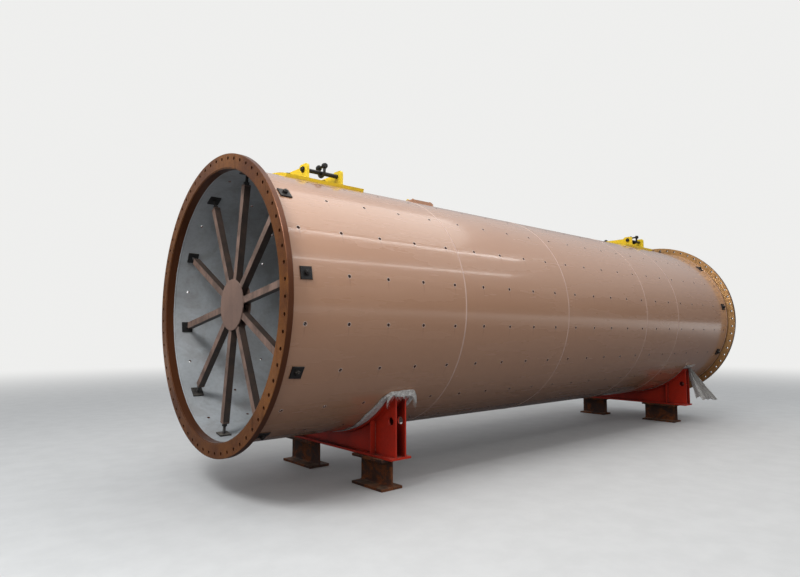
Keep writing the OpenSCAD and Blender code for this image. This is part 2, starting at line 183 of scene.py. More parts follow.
class MeshPile:
    """Collects many small solids and turns them into one object."""

    def __init__(self) -> None:
        """Starts an empty pile."""
        self.verts: list[Vector] = []
        self.faces: list[list[int]] = []

    def add(self, verts: Iterable[Vector], faces: Iterable[Sequence[int]], place: Matrix) -> None:
        """Adds vertices and faces under a placement.

        Args:
            verts: The vertices.
            faces: Faces as indices into those vertices.
            place: Where they go.
        """
        base = len(self.verts)
        self.verts.extend(place @ Vector(vert) for vert in verts)
        self.faces.extend([base + index for index in face] for face in faces)

    def loft(self, rings: Sequence[Sequence[Vector]], place: Matrix = Matrix(),
             closed: bool = False, caps: bool = True) -> None:
        """Joins rings of equal length by quads.

        Args:
            rings: Closed rings of points, one after another.
            place: Where the solid goes.
            closed: Whether the last ring joins the first.
            caps: Whether the first and last ring are filled.
        """
        count = len(rings[0])
        verts = [point for ring in rings for point in ring]
        steps = len(rings) if closed else len(rings) - 1
        faces: list[list[int]] = []
        for step in range(steps):
            here, there = step * count, (step + 1) % len(rings) * count
            for index in range(count):
                after = (index + 1) % count
                faces.append([here + index, here + after, there + after, there + index])
        if caps and not closed:
            faces.append(list(range(count - 1, -1, -1)))
            faces.append([len(verts) - count + index for index in range(count)])
        self.add(verts, faces, place)

    def lathe(self, profile: Profile, place: Matrix = Matrix(), segments: int = 32,
              closed: bool = False) -> None:
        """Turns a profile round the local Z axis.

        Args:
            profile: Points as radius and height.
            place: Where the solid goes.
            segments: Faces round the axis.
            closed: Whether the profile is a loop, as in a ring.
        """
        turns = [2 * math.pi * step / segments for step in range(segments)]
        rings = [[Vector((r * math.cos(t), r * math.sin(t), z)) for t in turns] for r, z in profile]
        self.loft(rings, place, closed=closed, caps=not closed)

    def tube(self, points: Sequence[Vector], radii: Sequence[float], sides: int = 12,
             closed: bool = False) -> None:
        """Sweeps a circle along points.

        Args:
            points: The middle line.
            radii: The radius at each point.
            sides: Sides of the circle.
            closed: Whether the line is a loop.
        """
        rings = []
        last = len(points) - 1
        normal = Vector((0, 0, 1))
        for index, point in enumerate(points):
            before = points[index - 1] if index or closed else point
            after = points[(index + 1) % len(points)] if index < last or closed else point
            along = (after - before).normalized()
            if abs(along.dot(normal)) > 0.95:
                normal = Vector((1, 0, 0)) if abs(along.x) < 0.9 else Vector((0, 1, 0))
            normal = (normal - along * normal.dot(along)).normalized()
            other = along.cross(normal)
            rings.append([
                point + radii[index] * (normal * math.cos(2 * math.pi * k / sides)
                                        + other * math.sin(2 * math.pi * k / sides))
                for k in range(sides)])
        self.loft(rings, closed=closed, caps=not closed)

    def plate(self, size: Sequence[float], place: Matrix, bevel: float) -> None:
        """Adds a block with chamfered edges, centred on its placement.

        Args:
            size: Length along X, Y and Z.
            place: Where it goes.
            bevel: Width of the chamfer.
        """
        half_x, half_y, half_z = (length / 2 for length in size)
        rings = []
        for z, inset in ((-half_z, bevel), (-half_z + bevel, 0.0),
                         (half_z - bevel, 0.0), (half_z, bevel)):
            x, y = half_x - inset, half_y - inset
            short, long = (x - bevel, y), (x, y - bevel)
            rings.append([Vector((sx * corner[0], sy * corner[1], z))
                          for sx, sy, corner in ((1, 1, short), (1, 1, long), (-1, 1, long),
                                                 (-1, 1, short), (-1, -1, short), (-1, -1, long),
                                                 (1, -1, long), (1, -1, short))])
        self.loft(rings, place)

    def washer(self, inner: float, outer: float, thickness: float, place: Matrix,
               segments: int = 28) -> None:
        """Adds a flat ring that stands on its placement.

        Args:
            inner: Radius of the hole.
            outer: Outside radius.
            thickness: Height along Z.
            place: Where it goes.
            segments: Faces round the ring.
        """
        self.lathe([(inner, 0.0), (outer, 0.0), (outer, thickness), (inner, thickness)], place,
                   segments, closed=True)

    def nut(self, flats: float, height: float, bore: float, place: Matrix) -> None:
        """Adds a chamfered hexagon nut that stands on its placement.

        Args:
            flats: Distance across the flats.
            height: Height along Z.
            bore: Radius of the hole, or 0 for a bolt head.
            place: Where it goes.
        """
        chamfer = 0.14 * height
        face_r, corner_r = 0.97 * flats / 2, 1.17 * flats / 2
        turns = [2 * math.pi * step / 36 for step in range(36)]
        rings = []
        for z, limit in ((0.0, face_r), (chamfer, corner_r),
                         (height - chamfer, corner_r), (height, face_r)):
            ring = []
            for turn in turns:
                from_flat = (turn + math.pi / 6) % (math.pi / 3) - math.pi / 6
                radius = min(flats / 2 / math.cos(from_flat), limit)
                ring.append(Vector((radius * math.cos(turn), radius * math.sin(turn), z)))
            rings.append(ring)
        if bore > 0:
            rings += [[Vector((bore * math.cos(turn), bore * math.sin(turn), z))
                       for turn in turns] for z in (height, 0.0)]
        self.loft(rings, place, closed=bore > 0)

    def thread(self, radius: float, pitch: float, length: float, place: Matrix) -> None:
        """Adds a threaded rod along Z from its placement, with a chamfered end.

        Args:
            radius: Outside radius.
            pitch: Distance between turns.
            length: Length of the rod.
            place: Where it goes.
        """
        sides, steps_a_turn = 20, 4
        depth = 0.55 * pitch
        steps = max(steps_a_turn, round(length / pitch * steps_a_turn))
        rings = []
        for step in range(steps + 1):
            z = length * step / steps
            taper = min(1.0, (length - z) / pitch)
            ring = []
            for k in range(sides):
                phase = (z / pitch - k / sides) % 1.0
                ridge = 1 - abs(2 * phase - 1)
                r = radius - depth * (1 - ridge) - 0.8 * depth * (1 - taper)
                turn = 2 * math.pi * k / sides
                ring.append(Vector((r * math.cos(turn), r * math.sin(turn), z)))
            rings.append(ring)
        self.loft(rings, place)

    def weld(self, points: Sequence[Vector], radius: float, seed: int) -> None:
        """Lays a rippled weld bead along points, with its own small wander.

        Args:
            points: The line of the weld.
            radius: Half of the bead's width.
            seed: Start of the bead's random ripple.
        """
        dice = random.Random(seed)
        shift = dice.uniform(0, 100)
        line = spaced(points, 0.55 * radius)
        radii = [radius * (0.86 + 0.16 * abs(math.sin(1.3 * index))
                           + 0.12 * noise.noise(Vector((index * 0.21 + shift, 0, 0))))
                 for index in range(len(line))]
        self.tube(line, radii, sides=8)

    def to_object(self, name: str, material: bpy.types.Material,
                  sharp_deg: float = 38.0) -> bpy.types.Object:
        """Makes one object of the pile, with outward normals and crisp edges.

        Args:
            name: Name of the object.
            material: Its finish.
            sharp_deg: Edges that turn more than this stay crisp.

        Returns:
            The new object.
        """
        mesh = bpy.data.meshes.new(name)
        mesh.from_pydata([tuple(vert) for vert in self.verts], [], self.faces)
        work = bmesh.new()
        work.from_mesh(mesh)
        bmesh.ops.recalc_face_normals(work, faces=work.faces)
        for face in work.faces:
            face.smooth = True
        for edge in work.edges:
            if len(edge.link_faces) == 2:
                edge.smooth = edge.calc_face_angle(0.0) < math.radians(sharp_deg)
        work.to_mesh(mesh)
        work.free()
        piece = bpy.data.objects.new(name, mesh)
        bpy.context.scene.collection.objects.link(piece)
        mesh.materials.append(material)
        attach(piece, BODY)
        return piece


def spaced(points: Sequence[Vector], step: float) -> list[Vector]:
    """Points at even steps along a line of points.

    Args:
        points: The line's corners.
        step: Distance between two points.

    Returns:
        The even points, from the first corner to the last.
    """
    found: list[Vector] = []
    for start, stop in zip(points, points[1:]):
        length = (stop - start).length
        count = max(1, round(length / step))
        found.extend(start.lerp(stop, k / count) for k in range(count))
    return found + [points[-1].copy()]


class Graph:
    """Adds nodes to one shader tree in short calls."""

    def __init__(self, tree: bpy.types.NodeTree) -> None:
        """Wraps a shader tree."""
        self.tree = tree

    def feed(self, socket: bpy.types.NodeSocket, value: object) -> None:
        """Links a socket, or sets it to a number or colour.

        Args:
            socket: The input to set.
            value: Another node's output, a number, a vector or a colour.
        """
        if isinstance(value, bpy.types.NodeSocket):
            self.tree.links.new(value, socket)
        elif socket.type == "RGBA" and not isinstance(value, float):
            socket.default_value = (*value[:3], 1.0)
        else:
            socket.default_value = value

    def new(self, kind: str, inputs: dict[str | int, object] | None = None,
            **settings: object) -> bpy.types.Node:
        """Adds a node.

        Args:
            kind: The node's type.
            inputs: Values or links for its inputs, by name or number.
            **settings: Its own properties.

        Returns:
            The node.
        """
        node = self.tree.nodes.new(kind)
        for name, value in settings.items():
            setattr(node, name, value)
        for name, value in (inputs or {}).items():
            self.feed(node.inputs[name], value)
        return node

    def math(self, operation: str, first: object, second: object = 0.0,
             clamp: bool = False) -> bpy.types.NodeSocket:
        """Adds a Math node.

        Args:
            operation: What it does.
            first: First value.
            second: Second value.
            clamp: Whether the result stays from 0 to 1.

        Returns:
            The result.
        """
        node = self.new("ShaderNodeMath", {0: first, 1: second}, operation=operation,
                        use_clamp=clamp)
        return node.outputs[0]

    def plus(self, first: object, second: object, clamp: bool = False) -> bpy.types.NodeSocket:
        """Adds two values, and keeps the sum from 0 to 1 where asked."""
        return self.math("ADD", first, second, clamp)

    def minus(self, first: object, second: object, clamp: bool = False) -> bpy.types.NodeSocket:
        """Takes the second value from the first, and keeps the rest from 0 to 1 where asked."""
        return self.math("SUBTRACT", first, second, clamp)

    def times(self, first: object, second: object, clamp: bool = False) -> bpy.types.NodeSocket:
        """Multiplies two values, and keeps the product from 0 to 1 where asked."""
        return self.math("MULTIPLY", first, second, clamp)

    def distance(self, first: object, second: object) -> bpy.types.NodeSocket:
        """The distance from zero of a point with two coordinates."""
        return self.math("SQRT", self.plus(self.times(first, first), self.times(second, second)))

    def mix(self, factor: object, first: object, second: object) -> bpy.types.NodeSocket:
        """Mixes two colours.

        Args:
            factor: Share of the second.
            first: First colour.
            second: Second colour.

        Returns:
            The mixed colour.
        """
        node = self.new("ShaderNodeMix", data_type="RGBA")
        for socket, value in zip(MIX_INPUTS, (factor, first, second)):
            self.feed(node.inputs[socket], value)
        return node.outputs[MIX_RESULT]

    def noise(self, vector: object, scale: object, detail: float = 4.0,
              roughness: float = 0.55, distortion: float = 0.0) -> bpy.types.NodeSocket:
        """Adds a noise texture.

        Args:
            vector: Where it is read.
            scale: Its scale, per metre.
            detail: Octaves.
            roughness: Strength of the fine octaves.
            distortion: How far it is bent.

        Returns:
            The noise, round 0.5.
        """
        node = self.new("ShaderNodeTexNoise", {
            "Vector": vector, "Scale": scale, "Detail": detail, "Roughness": roughness,
            "Distortion": distortion})
        return node.outputs["Fac"]

    def band(self, value: object, low: float, high: float) -> bpy.types.NodeSocket:
        """Maps a value smoothly from 0 at low to 1 at high.

        Args:
            value: The value.
            low: Where the result is 0.
            high: Where the result is 1.

        Returns:
            The mapped value.
        """
        node = self.new("ShaderNodeMapRange", {"Value": value, "From Min": low, "From Max": high},
                        interpolation_type="SMOOTHSTEP")
        return node.outputs["Result"]

    def place(self) -> bpy.types.NodeSocket:
        """The point on the surface in the part's own frame."""
        return self.new("ShaderNodeTexCoord").outputs["Object"]

    def normal(self) -> bpy.types.NodeSocket:
        """The direction that the surface faces."""
        return self.new("ShaderNodeNewGeometry").outputs["Normal"]

    def facing_ends(self, low: float, high: float) -> bpy.types.NodeSocket:
        """Masks surfaces that face along the mill.

        Args:
            low: Share of the normal along the mill where the mask is 0.
            high: Share where the mask is 1.

        Returns:
            The mask.
        """
        return self.band(self.math("ABSOLUTE", self.parts(self.normal())[0]), low, high)

    def stretched(self, vector: object, scale: Sequence[float]) -> bpy.types.NodeSocket:
        """Scales a vector by a factor along each of X, Y and Z."""
        return self.new("ShaderNodeVectorMath", {0: vector, 1: scale},
                        operation="MULTIPLY").outputs[0]

    def parts(self, vector: object) -> list[bpy.types.NodeSocket]:
        """Splits a vector into X, Y and Z."""
        return list(self.new("ShaderNodeSeparateXYZ", {"Vector": vector}).outputs)


@dataclass(frozen=True)
class GroupSocket:
    """One named input or output of an effect group."""

    name: str
    kind: str = "NodeSocketFloat"


@dataclass(frozen=True)
class EffectBench:
    """What an effect is built with: the group's graph, its input node and its output node."""

    graph: Graph
    given: bpy.types.Node
    result: bpy.types.Node

    def value(self, name: str) -> bpy.types.NodeSocket:
        """One of the group's inputs."""
        return self.given.outputs[name]

    def give(self, name: str, value: object) -> None:
        """Sends a value to one of the group's outputs."""
        self.graph.feed(self.result.inputs[name], value)

    def give_mask(self, strength: object) -> None:
        """Sends a mask out, scaled by the group's Amount."""
        self.give("Mask", self.graph.times(strength, self.value("Amount"), clamp=True))


def build_group(name: str, inputs: Sequence[GroupSocket], outputs: Sequence[GroupSocket],
                fill: Callable[[EffectBench], None]) -> bpy.types.NodeTree:
    """Builds a shader node group with named sockets.

    Args:
        name: Name of the group.
        inputs: Its inputs.
        outputs: Its outputs.
        fill: Adds the nodes between the group's input node and output node.

    Returns:
        The group's tree.
    """
    tree = bpy.data.node_groups.new(name, "ShaderNodeTree")
    for way, sockets in (("INPUT", inputs), ("OUTPUT", outputs)):
        for socket in sockets:
            tree.interface.new_socket(socket.name, in_out=way, socket_type=socket.kind)
    graph = Graph(tree)
    fill(EffectBench(graph, graph.new("NodeGroupInput"), graph.new("NodeGroupOutput")))
    return tree


class Effects:
    """The shared surface effects, each a node group that is built once."""

    def __init__(self, mill: MillFrame) -> None:
        """Builds every group.

        Args:
            mill: Sizes of the mill, for the effects that follow its shell.
        """
        self.mill = mill
        colour = GroupSocket("Colour", "NodeSocketColor")
        other = GroupSocket("Other Colour", "NodeSocketColor")
        scale, amount, mask, height = map(GroupSocket, ("Scale", "Amount", "Mask", "Height"))
        self.patches = build_group("Broad patches", [colour, other, scale, amount], [colour],
                                   self._patches)
        self.edge_wear = build_group("Edge wear", [GroupSocket("Radius"), amount], [mask],
                                     self._edge_wear)
        # Painted shade: darkens gaps and inner corners where little light reaches.
        self.corners = build_group("Painted shade in corners", [GroupSocket("Distance"), amount], [mask],
                                   self._corners)
        self.dust = build_group("Dust on top", [amount, scale], [mask], self._dust)
        self.runs = build_group("Runs down", [scale, amount], [mask], self._runs)
        self.rust = build_group("Rust", [scale, amount], [mask, colour, height], self._rust)
        self.shell_map = build_group(
            "Shell map", [],
            [GroupSocket(name) for name in ("Inside", "Rim", "Hole", "Drip", "Turned")],
            self._shell_map)
        self.weave = build_group("Raffia weave", [scale], [GroupSocket("Shade"), height],
                                 self._weave)
        self.peel = build_group("Spray texture", [scale], [height, GroupSocket("Mist")],
                                self._peel)

    @staticmethod
    def _patches(bench: EffectBench) -> None:
        """Mixes two colours in large soft clouds and finer mist.

        Args:
            bench: The group's graph and sockets.
        """
        graph = bench.graph
        point = graph.place()
        broad = graph.noise(point, bench.value("Scale"), detail=3.0, roughness=0.5, distortion=0.4)
        fine = graph.noise(point, scale=23.0, detail=5.0, roughness=0.6)
        both = graph.plus(graph.band(broad, 0.3, 0.7),
                          graph.times(graph.band(fine, 0.35, 0.75), 0.35))
        share = graph.times(both, bench.value("Amount"), clamp=True)
        bench.give("Colour", graph.mix(share, bench.value("Colour"), bench.value("Other Colour")))

    @staticmethod
    def _edge_wear(bench: EffectBench) -> None:
        """Finds edges from the angle between the rounded and the true normal.

        Args:
            bench: The group's graph and sockets.
        """
        graph = bench.graph
        rounded = graph.new("ShaderNodeBevel", {"Radius": bench.value("Radius")},
                            samples=BEVEL_SAMPLES)
        dot = graph.new("ShaderNodeVectorMath", {0: rounded.outputs[0], 1: graph.normal()},
                        operation="DOT_PRODUCT")
        edge = graph.band(dot.outputs["Value"], 0.995, 0.86)
        chips = graph.noise(graph.place(), scale=38.0, detail=5.0, roughness=0.65)
        bench.give_mask(graph.times(edge, graph.band(chips, 0.42, 0.6)))

    @staticmethod
    def _corners(bench: EffectBench) -> None:
        """Masks gaps and inner corners for painted shade, where little light reaches.

        Args:
            bench: The group's graph and sockets.
        """
        closed = bench.graph.new("ShaderNodeAmbientOcclusion",
                                 {"Distance": bench.value("Distance")}, samples=6)
        bench.give_mask(bench.graph.band(closed.outputs["AO"], 0.72, 0.22))

    @staticmethod
    def _dust(bench: EffectBench) -> None:
        """Masks surfaces that face up, broken by noise.

        Args:
            bench: The group's graph and sockets.
        """
        graph = bench.graph
        up = graph.band(graph.parts(graph.normal())[2], 0.35, 0.98)
        cloud = graph.noise(graph.place(), bench.value("Scale"), detail=6.0, roughness=0.65)
        bench.give_mask(graph.times(up, graph.band(cloud, 0.3, 0.72)))

    @staticmethod
    def _runs(bench: EffectBench) -> None:
        """Makes soft marks that run down the surface.

        Args:
            bench: The group's graph and sockets.
        """
        graph = bench.graph
        flow = graph.stretched(graph.place(), (1.0, 1.0, 0.09))
        streak = graph.noise(flow, bench.value("Scale"), detail=5.0, roughness=0.6)
        bench.give_mask(graph.band(streak, 0.52, 0.75))

    @staticmethod
    def _rust(bench: EffectBench) -> None:
        """Makes rust spots with their own colour and height.

        Args:
            bench: The group's graph and sockets.
        """
        graph = bench.graph
        point = graph.place()
        broad = graph.noise(point, bench.value("Scale"), detail=9.0, roughness=0.68,
                            distortion=0.6)
        mask = graph.times(graph.band(broad, 0.44, 0.62), bench.value("Amount"), clamp=True)
        grain = graph.noise(point, scale=90.0, detail=6.0, roughness=0.7)
        bench.give("Mask", mask)
        bench.give("Colour", graph.mix(graph.band(grain, 0.35, 0.65), srgb(86, 44, 22),
                                       srgb(158, 88, 38)))
        bench.give("Height", graph.times(grain, mask))

    def _shell_map(self, bench: EffectBench) -> None:
        """Finds the inside, the hole rims and the marks under holes from the mill's axis.

        Args:
            bench: The group's graph and sockets.
        """
        graph, mill = bench.graph, self.mill
        x, y, z = graph.parts(graph.place())
        height = graph.minus(z, mill.axis_z)
        radius = graph.distance(y, height)
        middle, soft = (mill.shell_r + mill.bore_r) / 2, 0.004
        bench.give("Inside", graph.band(radius, middle + soft, middle - soft))
        turns = graph.math("DIVIDE", graph.math("ARCTAN2", y, height), 2 * math.pi)
        row = graph.plus(graph.times(turns, float(mill.row_count)), 0.5)
        off_row = graph.minus(row, graph.math("ROUND", row))
        across = graph.times(off_row, 2 * math.pi * mill.shell_r / mill.row_count)
        ring = graph.math("DIVIDE", x, mill.ring_pitch)
        off_ring = graph.minus(ring, graph.math("ROUND", ring))
        along = graph.times(off_ring, mill.ring_pitch)
        reach = graph.distance(across, along)
        rim = graph.band(reach, mill.hole_r + 0.009, mill.hole_r + 0.004)
        hole = graph.band(reach, mill.hole_r + 0.0012, mill.hole_r + 0.0002)
        bench.give("Rim", graph.minus(rim, hole, clamp=True))
        bench.give("Hole", hole)
        downhill = graph.times(across, graph.math("SIGN", y))
        below = graph.times(graph.band(downhill, 0.012, 0.03), graph.band(downhill, 0.16, 0.03))
        wander = graph.noise(graph.place(), scale=9.0, detail=3.0, roughness=0.5)
        line = graph.plus(along, graph.times(graph.minus(wander, 0.5), 0.03))
        thin = graph.band(graph.math("ABSOLUTE", line), 0.012, 0.002)
        bench.give("Drip", graph.times(below, thin))
        outward = graph.new("ShaderNodeCombineXYZ", {"X": radius})
        lines = graph.new("ShaderNodeTexWave", {"Vector": outward.outputs[0], "Scale": 60.0,
                                                "Distortion": 1.5, "Detail": 3.0},
                          wave_type="BANDS")
        bench.give("Turned", lines.outputs["Fac"])

    @staticmethod
    def _weave(bench: EffectBench) -> None:
        """Crosses two sets of flat strands.

        Args:
            bench: The group's graph and sockets.
        """
        graph = bench.graph
        point = graph.place()
        warp, weft = (
            graph.new("ShaderNodeTexWave", {"Vector": graph.stretched(point, way),
                                            "Scale": bench.value("Scale"), "Distortion": 1.2,
                                            "Detail": 2.0}, bands_direction=direction)
            for direction, way in (("X", (1.0, 0.2, 0.2)), ("Z", (0.2, 1.0, 1.0))))
        strand = graph.math("MAXIMUM", warp.outputs["Fac"], weft.outputs["Fac"])
        loose = graph.noise(graph.stretched(point, (1.0, 0.2, 1.0)), scale=60.0, detail=4.0,
                            roughness=0.6)
        bench.give("Height", strand)
        bench.give("Shade", graph.plus(graph.times(strand, 0.5), graph.times(loose, 0.5),
                                       clamp=True))

    @staticmethod
    def _peel(bench: EffectBench) -> None:
        """Gives the fine dimples of sprayed paint and its overspray.

        Args:
            bench: The group's graph and sockets.
        """
        graph = bench.graph
        point = graph.place()
        bench.give("Height", graph.noise(point, bench.value("Scale"), detail=3.0, roughness=0.5))
        passes = graph.stretched(point, (0.35, 2.2, 2.2))
        bench.give("Mist", graph.noise(passes, scale=1.6, detail=4.0, roughness=0.6))


class Coat:
    """A material in the making: its shader, and the colour that layers are laid on."""

    def __init__(self, name: str, effects: Effects) -> None:
        """Starts an empty material.

        Args:
            name: Name of the material.
            effects: The shared effects.
        """
        self.material = bpy.data.materials.new(name)
        self.material.use_nodes = True
        self.graph = Graph(self.material.node_tree)
        self.shader = self.material.node_tree.nodes["Principled BSDF"]
        self.effects = effects
        self.colour: object = None

    def group(self, tree: bpy.types.NodeTree, **inputs: object) -> bpy.types.Node:
        """Places an effect group.

        Args:
            tree: The group.
            **inputs: Its values, with _ for a blank in a name.

        Returns:
            The group node.
        """
        named = {name.replace("_", " "): value for name, value in inputs.items()}
        return self.graph.new("ShaderNodeGroup", named, node_tree=tree)

    def patches(self, first: Colour, second: Colour, scale: float,
                amount: float) -> bpy.types.NodeSocket:
        """Two colours mixed in broad patches.

        Args:
            first: The main colour.
            second: The patches' colour.
            scale: How fine the patches are.
            amount: How strong they are.

        Returns:
            The mixed colour.
        """
        return self.group(self.effects.patches, Colour=first, Other_Colour=second, Scale=scale,
                          Amount=amount).outputs[0]

    def lay(self, mask: object, colour: object) -> None:
        """Lays a colour over the coat where a mask says so."""
        self.colour = self.graph.mix(mask, self.colour, colour)

    def layer(self, tree: bpy.types.NodeTree, colour: object,
              **inputs: object) -> bpy.types.NodeSocket:
        """Lays a colour over the coat where an effect says so.

        Args:
            tree: The effect's group, whose first output is its mask.
            colour: The colour.
            **inputs: The effect's values.

        Returns:
            The mask.
        """
        mask = self.group(tree, **inputs).outputs[0]
        self.lay(mask, colour)
        return mask

    def relief(self, height: object, depth: float, round_edge: float = 0.0) -> None:
        """Feeds a height and softened edges to the shader's normal.

        Args:
            height: The height, from 0 to 1.
            depth: How deep it is, in metres.
            round_edge: Radius of the softened edges, or 0 to leave them.
        """
        bump = self.graph.new("ShaderNodeBump", {"Strength": 1.0, "Distance": depth,
                                                 "Height": height})
        if round_edge:
            soft = self.graph.new("ShaderNodeBevel", {"Radius": round_edge},
                                  samples=BEVEL_SAMPLES)
            self.graph.feed(bump.inputs["Normal"], soft.outputs[0])
        self.graph.feed(self.shader.inputs["Normal"], bump.outputs[0])

    def finish(self, **inputs: object) -> bpy.types.Material:
        """Feeds the coat and the shader's other inputs.

        Args:
            **inputs: Values or links, with _ for a blank in a name.

        Returns:
            The finished material.
        """
        self.graph.feed(self.shader.inputs["Base Color"], self.colour)
        for name, value in inputs.items():
            self.graph.feed(self.shader.inputs[name.replace("_", " ")], value)
        return self.material


@dataclass(frozen=True)
class Finish:
    """A finish of one kind of piece: here painted steel with patches, dust, worn edges and painted
    shade.
    """

    name: str
    base: Colour
    other: Colour
    roughness: float = 0.5
    wear: float = 0.5
    round_edge: float = 0.004
    # Share of painted shade in gaps and inner corners.
    grime: float = 0.4
    steel: Colour = srgb(74, 62, 54)
    dust: Colour = srgb(176, 166, 152)

    def shade(self, share: float) -> Colour:
        """The base colour, darkened to a share of itself."""
        return tuple(share * part for part in self.base)

    def build(self, effects: Effects) -> bpy.types.Material:
        """Builds the material.

        Args:
            effects: The shared effects.

        Returns:
            The material.
        """
        coat = Coat(self.name, effects)
        graph = coat.graph
        coat.colour = coat.patches(self.base, self.other, scale=1.7, amount=0.55)
        coat.layer(effects.runs, self.shade(0.55), Scale=9.0, Amount=0.35)
        worn = coat.layer(effects.edge_wear, self.steel, Radius=2.2 * self.round_edge,
                          Amount=self.wear)
        dust = coat.layer(effects.dust, self.dust, Amount=0.4, Scale=6.0)
        # Painted shade: gaps and inner corners darkened to a tenth of the base colour, where little
        # light reaches.
        coat.layer(effects.corners, self.shade(0.1), Distance=0.3, Amount=self.grime)
        peel = coat.group(effects.peel, Scale=240.0)
        coat.relief(peel.outputs["Height"], 0.0004, self.round_edge)
        return coat.finish(
            Roughness=graph.plus(self.roughness, graph.times(graph.plus(dust, worn), 0.25)))


@dataclass(frozen=True)
class ShellPaint(Finish):
    """Sprayed copper paint outside and grey primer inside."""

    mist: Colour = srgb(204, 168, 147)
    run: Colour = srgb(150, 116, 98)
    dust: Colour = srgb(196, 180, 166)
    drip: Colour = srgb(138, 96, 76)
    rim: Colour = srgb(214, 196, 184)
    bare: Colour = srgb(104, 68, 50)
    primer: Colour = srgb(186, 190, 192)
    primer_dark: Colour = srgb(140, 142, 143)
    primer_rust: Colour = srgb(112, 94, 82)
    gloss: float = 0.6

    def build(self, effects: Effects) -> bpy.types.Material:
        """Builds the shell's material.

        Args:
            effects: The shared effects.

        Returns:
            The material.
        """
        coat = Coat(self.name, effects)
        graph = coat.graph
        spot = coat.group(effects.shell_map)
        inside = spot.outputs["Inside"]
        peel = coat.group(effects.peel, Scale=160.0)
        coat.colour = coat.patches(self.base, self.other, scale=0.45, amount=0.2)
        mist = graph.band(peel.outputs["Mist"], 0.42, 0.68)
        coat.lay(graph.times(mist, 0.08), self.mist)
        coat.layer(effects.runs, self.run, Scale=5.0, Amount=0.06)
        dust = coat.layer(effects.dust, self.dust, Amount=0.08, Scale=2.4)
        coat.lay(graph.times(spot.outputs["Drip"], 0.3), self.drip)
        coat.lay(graph.times(spot.outputs["Rim"], 0.75), self.rim)
        rust = coat.group(effects.rust, Scale=2.6, Amount=0.5)
        lining = graph.mix(graph.times(rust.outputs["Mask"], 0.5),
                           coat.patches(self.primer, self.primer_dark, scale=1.1, amount=0.6),
                           self.primer_rust)
        coat.lay(inside, lining)
        coat.lay(spot.outputs["Hole"], self.bare)
        rough = graph.plus(self.roughness, graph.times(graph.minus(mist, 0.4), 0.1))
        rough = graph.plus(rough, graph.times(inside, 0.28))
        coat.relief(peel.outputs["Height"], 0.0003)
        return coat.finish(
            Roughness=graph.plus(rough, graph.times(dust, 0.35), clamp=True),
            Coat_Weight=graph.minus(self.gloss, graph.times(inside, self.gloss)),
            Coat_Roughness=0.1)


@dataclass(frozen=True)
class FlangeVarnish(Finish):
    """Machined steel under brown rust-preventive varnish."""

    gold: Colour = srgb(170, 104, 38)
    pale_gold: Colour = srgb(232, 188, 128)
    rim: Colour = srgb(98, 56, 32)
    turned: Colour = srgb(196, 150, 96)
    steel: Colour = srgb(120, 96, 78)

    def build(self, effects: Effects) -> bpy.types.Material:
        """Builds the flange's material.

        Args:
            effects: The shared effects.

        Returns:
            The material.
        """
        coat = Coat(self.name, effects)
        graph = coat.graph
        spot = coat.group(effects.shell_map)
        coat.colour = coat.patches(self.base, self.gold, scale=1.3, amount=0.6)
        far = graph.band(graph.parts(graph.place())[0], 0.0, 1.0)
        coat.lay(graph.times(far, 0.6), self.pale_gold)
        runs = coat.layer(effects.runs, self.other, Scale=14.0, Amount=0.55)
        facing = graph.facing_ends(0.5, 0.9)
        coat.colour = graph.mix(facing, self.rim, coat.colour)
        turned = graph.times(spot.outputs["Turned"], facing)
        coat.lay(graph.times(turned, 0.12), self.turned)
        coat.layer(effects.edge_wear, self.steel, Radius=0.008, Amount=self.wear)
        coat.relief(turned, 0.0003, self.round_edge)
        return coat.finish(Roughness=graph.plus(self.roughness, graph.times(runs, 0.3)),
                           Metallic=0.5, Specular_IOR_Level=0.3, Coat_Weight=0.12,
                           Coat_Roughness=0.22)


@dataclass(frozen=True)
class ArmSteel(Finish):
    """Primer on faces along the mill; dark mill scale and painted shade on the arms' sides."""

    # The arms' sides: dark mill scale, and painted shade where light through the mouth does not
    # reach them.
    scale: Colour = srgb(50, 42, 38)
    scale_brown: Colour = srgb(78, 60, 50)
    steel: Colour = srgb(128, 112, 100)

    def build(self, effects: Effects) -> bpy.types.Material:
        """Builds the material of the spider arms.

        Args:
            effects: The shared effects.

        Returns:
            The material.
        """
        coat = Coat(self.name, effects)
        graph = coat.graph
        # Painted shade: faces across the mill take the dark scale colours, faces along it the
        # primer.
        coat.colour = graph.mix(
            graph.facing_ends(0.3, 0.8),
            coat.patches(self.scale, self.scale_brown, scale=7.0, amount=0.6),
            coat.patches(self.base, self.other, scale=5.0, amount=0.8))
        coat.layer(effects.runs, self.scale, Scale=18.0, Amount=0.5)
        worn = coat.layer(effects.edge_wear, self.steel, Radius=0.006, Amount=self.wear)
        peel = coat.group(effects.peel, Scale=120.0)
        coat.relief(peel.outputs["Height"], 0.0006, self.round_edge)
        return coat.finish(Roughness=graph.plus(self.roughness, graph.times(worn, -0.15)))


@dataclass(frozen=True)
class RolledRust(Finish):
    """Old rolled steel under mill scale and orange rust."""

    run: Colour = srgb(52, 30, 20)
    dust: Colour = srgb(150, 128, 104)
    steel: Colour = srgb(172, 108, 60)

    def build(self, effects: Effects) -> bpy.types.Material:
        """Builds the stub beams' material.

        Args:
            effects: The shared effects.

        Returns:
            The material.
        """
        coat = Coat(self.name, effects)
        graph = coat.graph
        coat.colour = coat.patches(self.base, self.other, scale=4.0, amount=0.8)
        rust = coat.group(effects.rust, Scale=5.5, Amount=0.95)
        coat.lay(rust.outputs["Mask"], rust.outputs["Colour"])
        coat.layer(effects.runs, self.run, Scale=16.0, Amount=0.6)
        coat.layer(effects.dust, self.dust, Amount=0.5, Scale=9.0)
        coat.layer(effects.edge_wear, self.steel, Radius=0.01, Amount=self.wear)
        coat.relief(rust.outputs["Height"], 0.002, self.round_edge)
        return coat.finish(
            Roughness=graph.plus(self.roughness, graph.times(rust.outputs["Mask"], 0.2)))


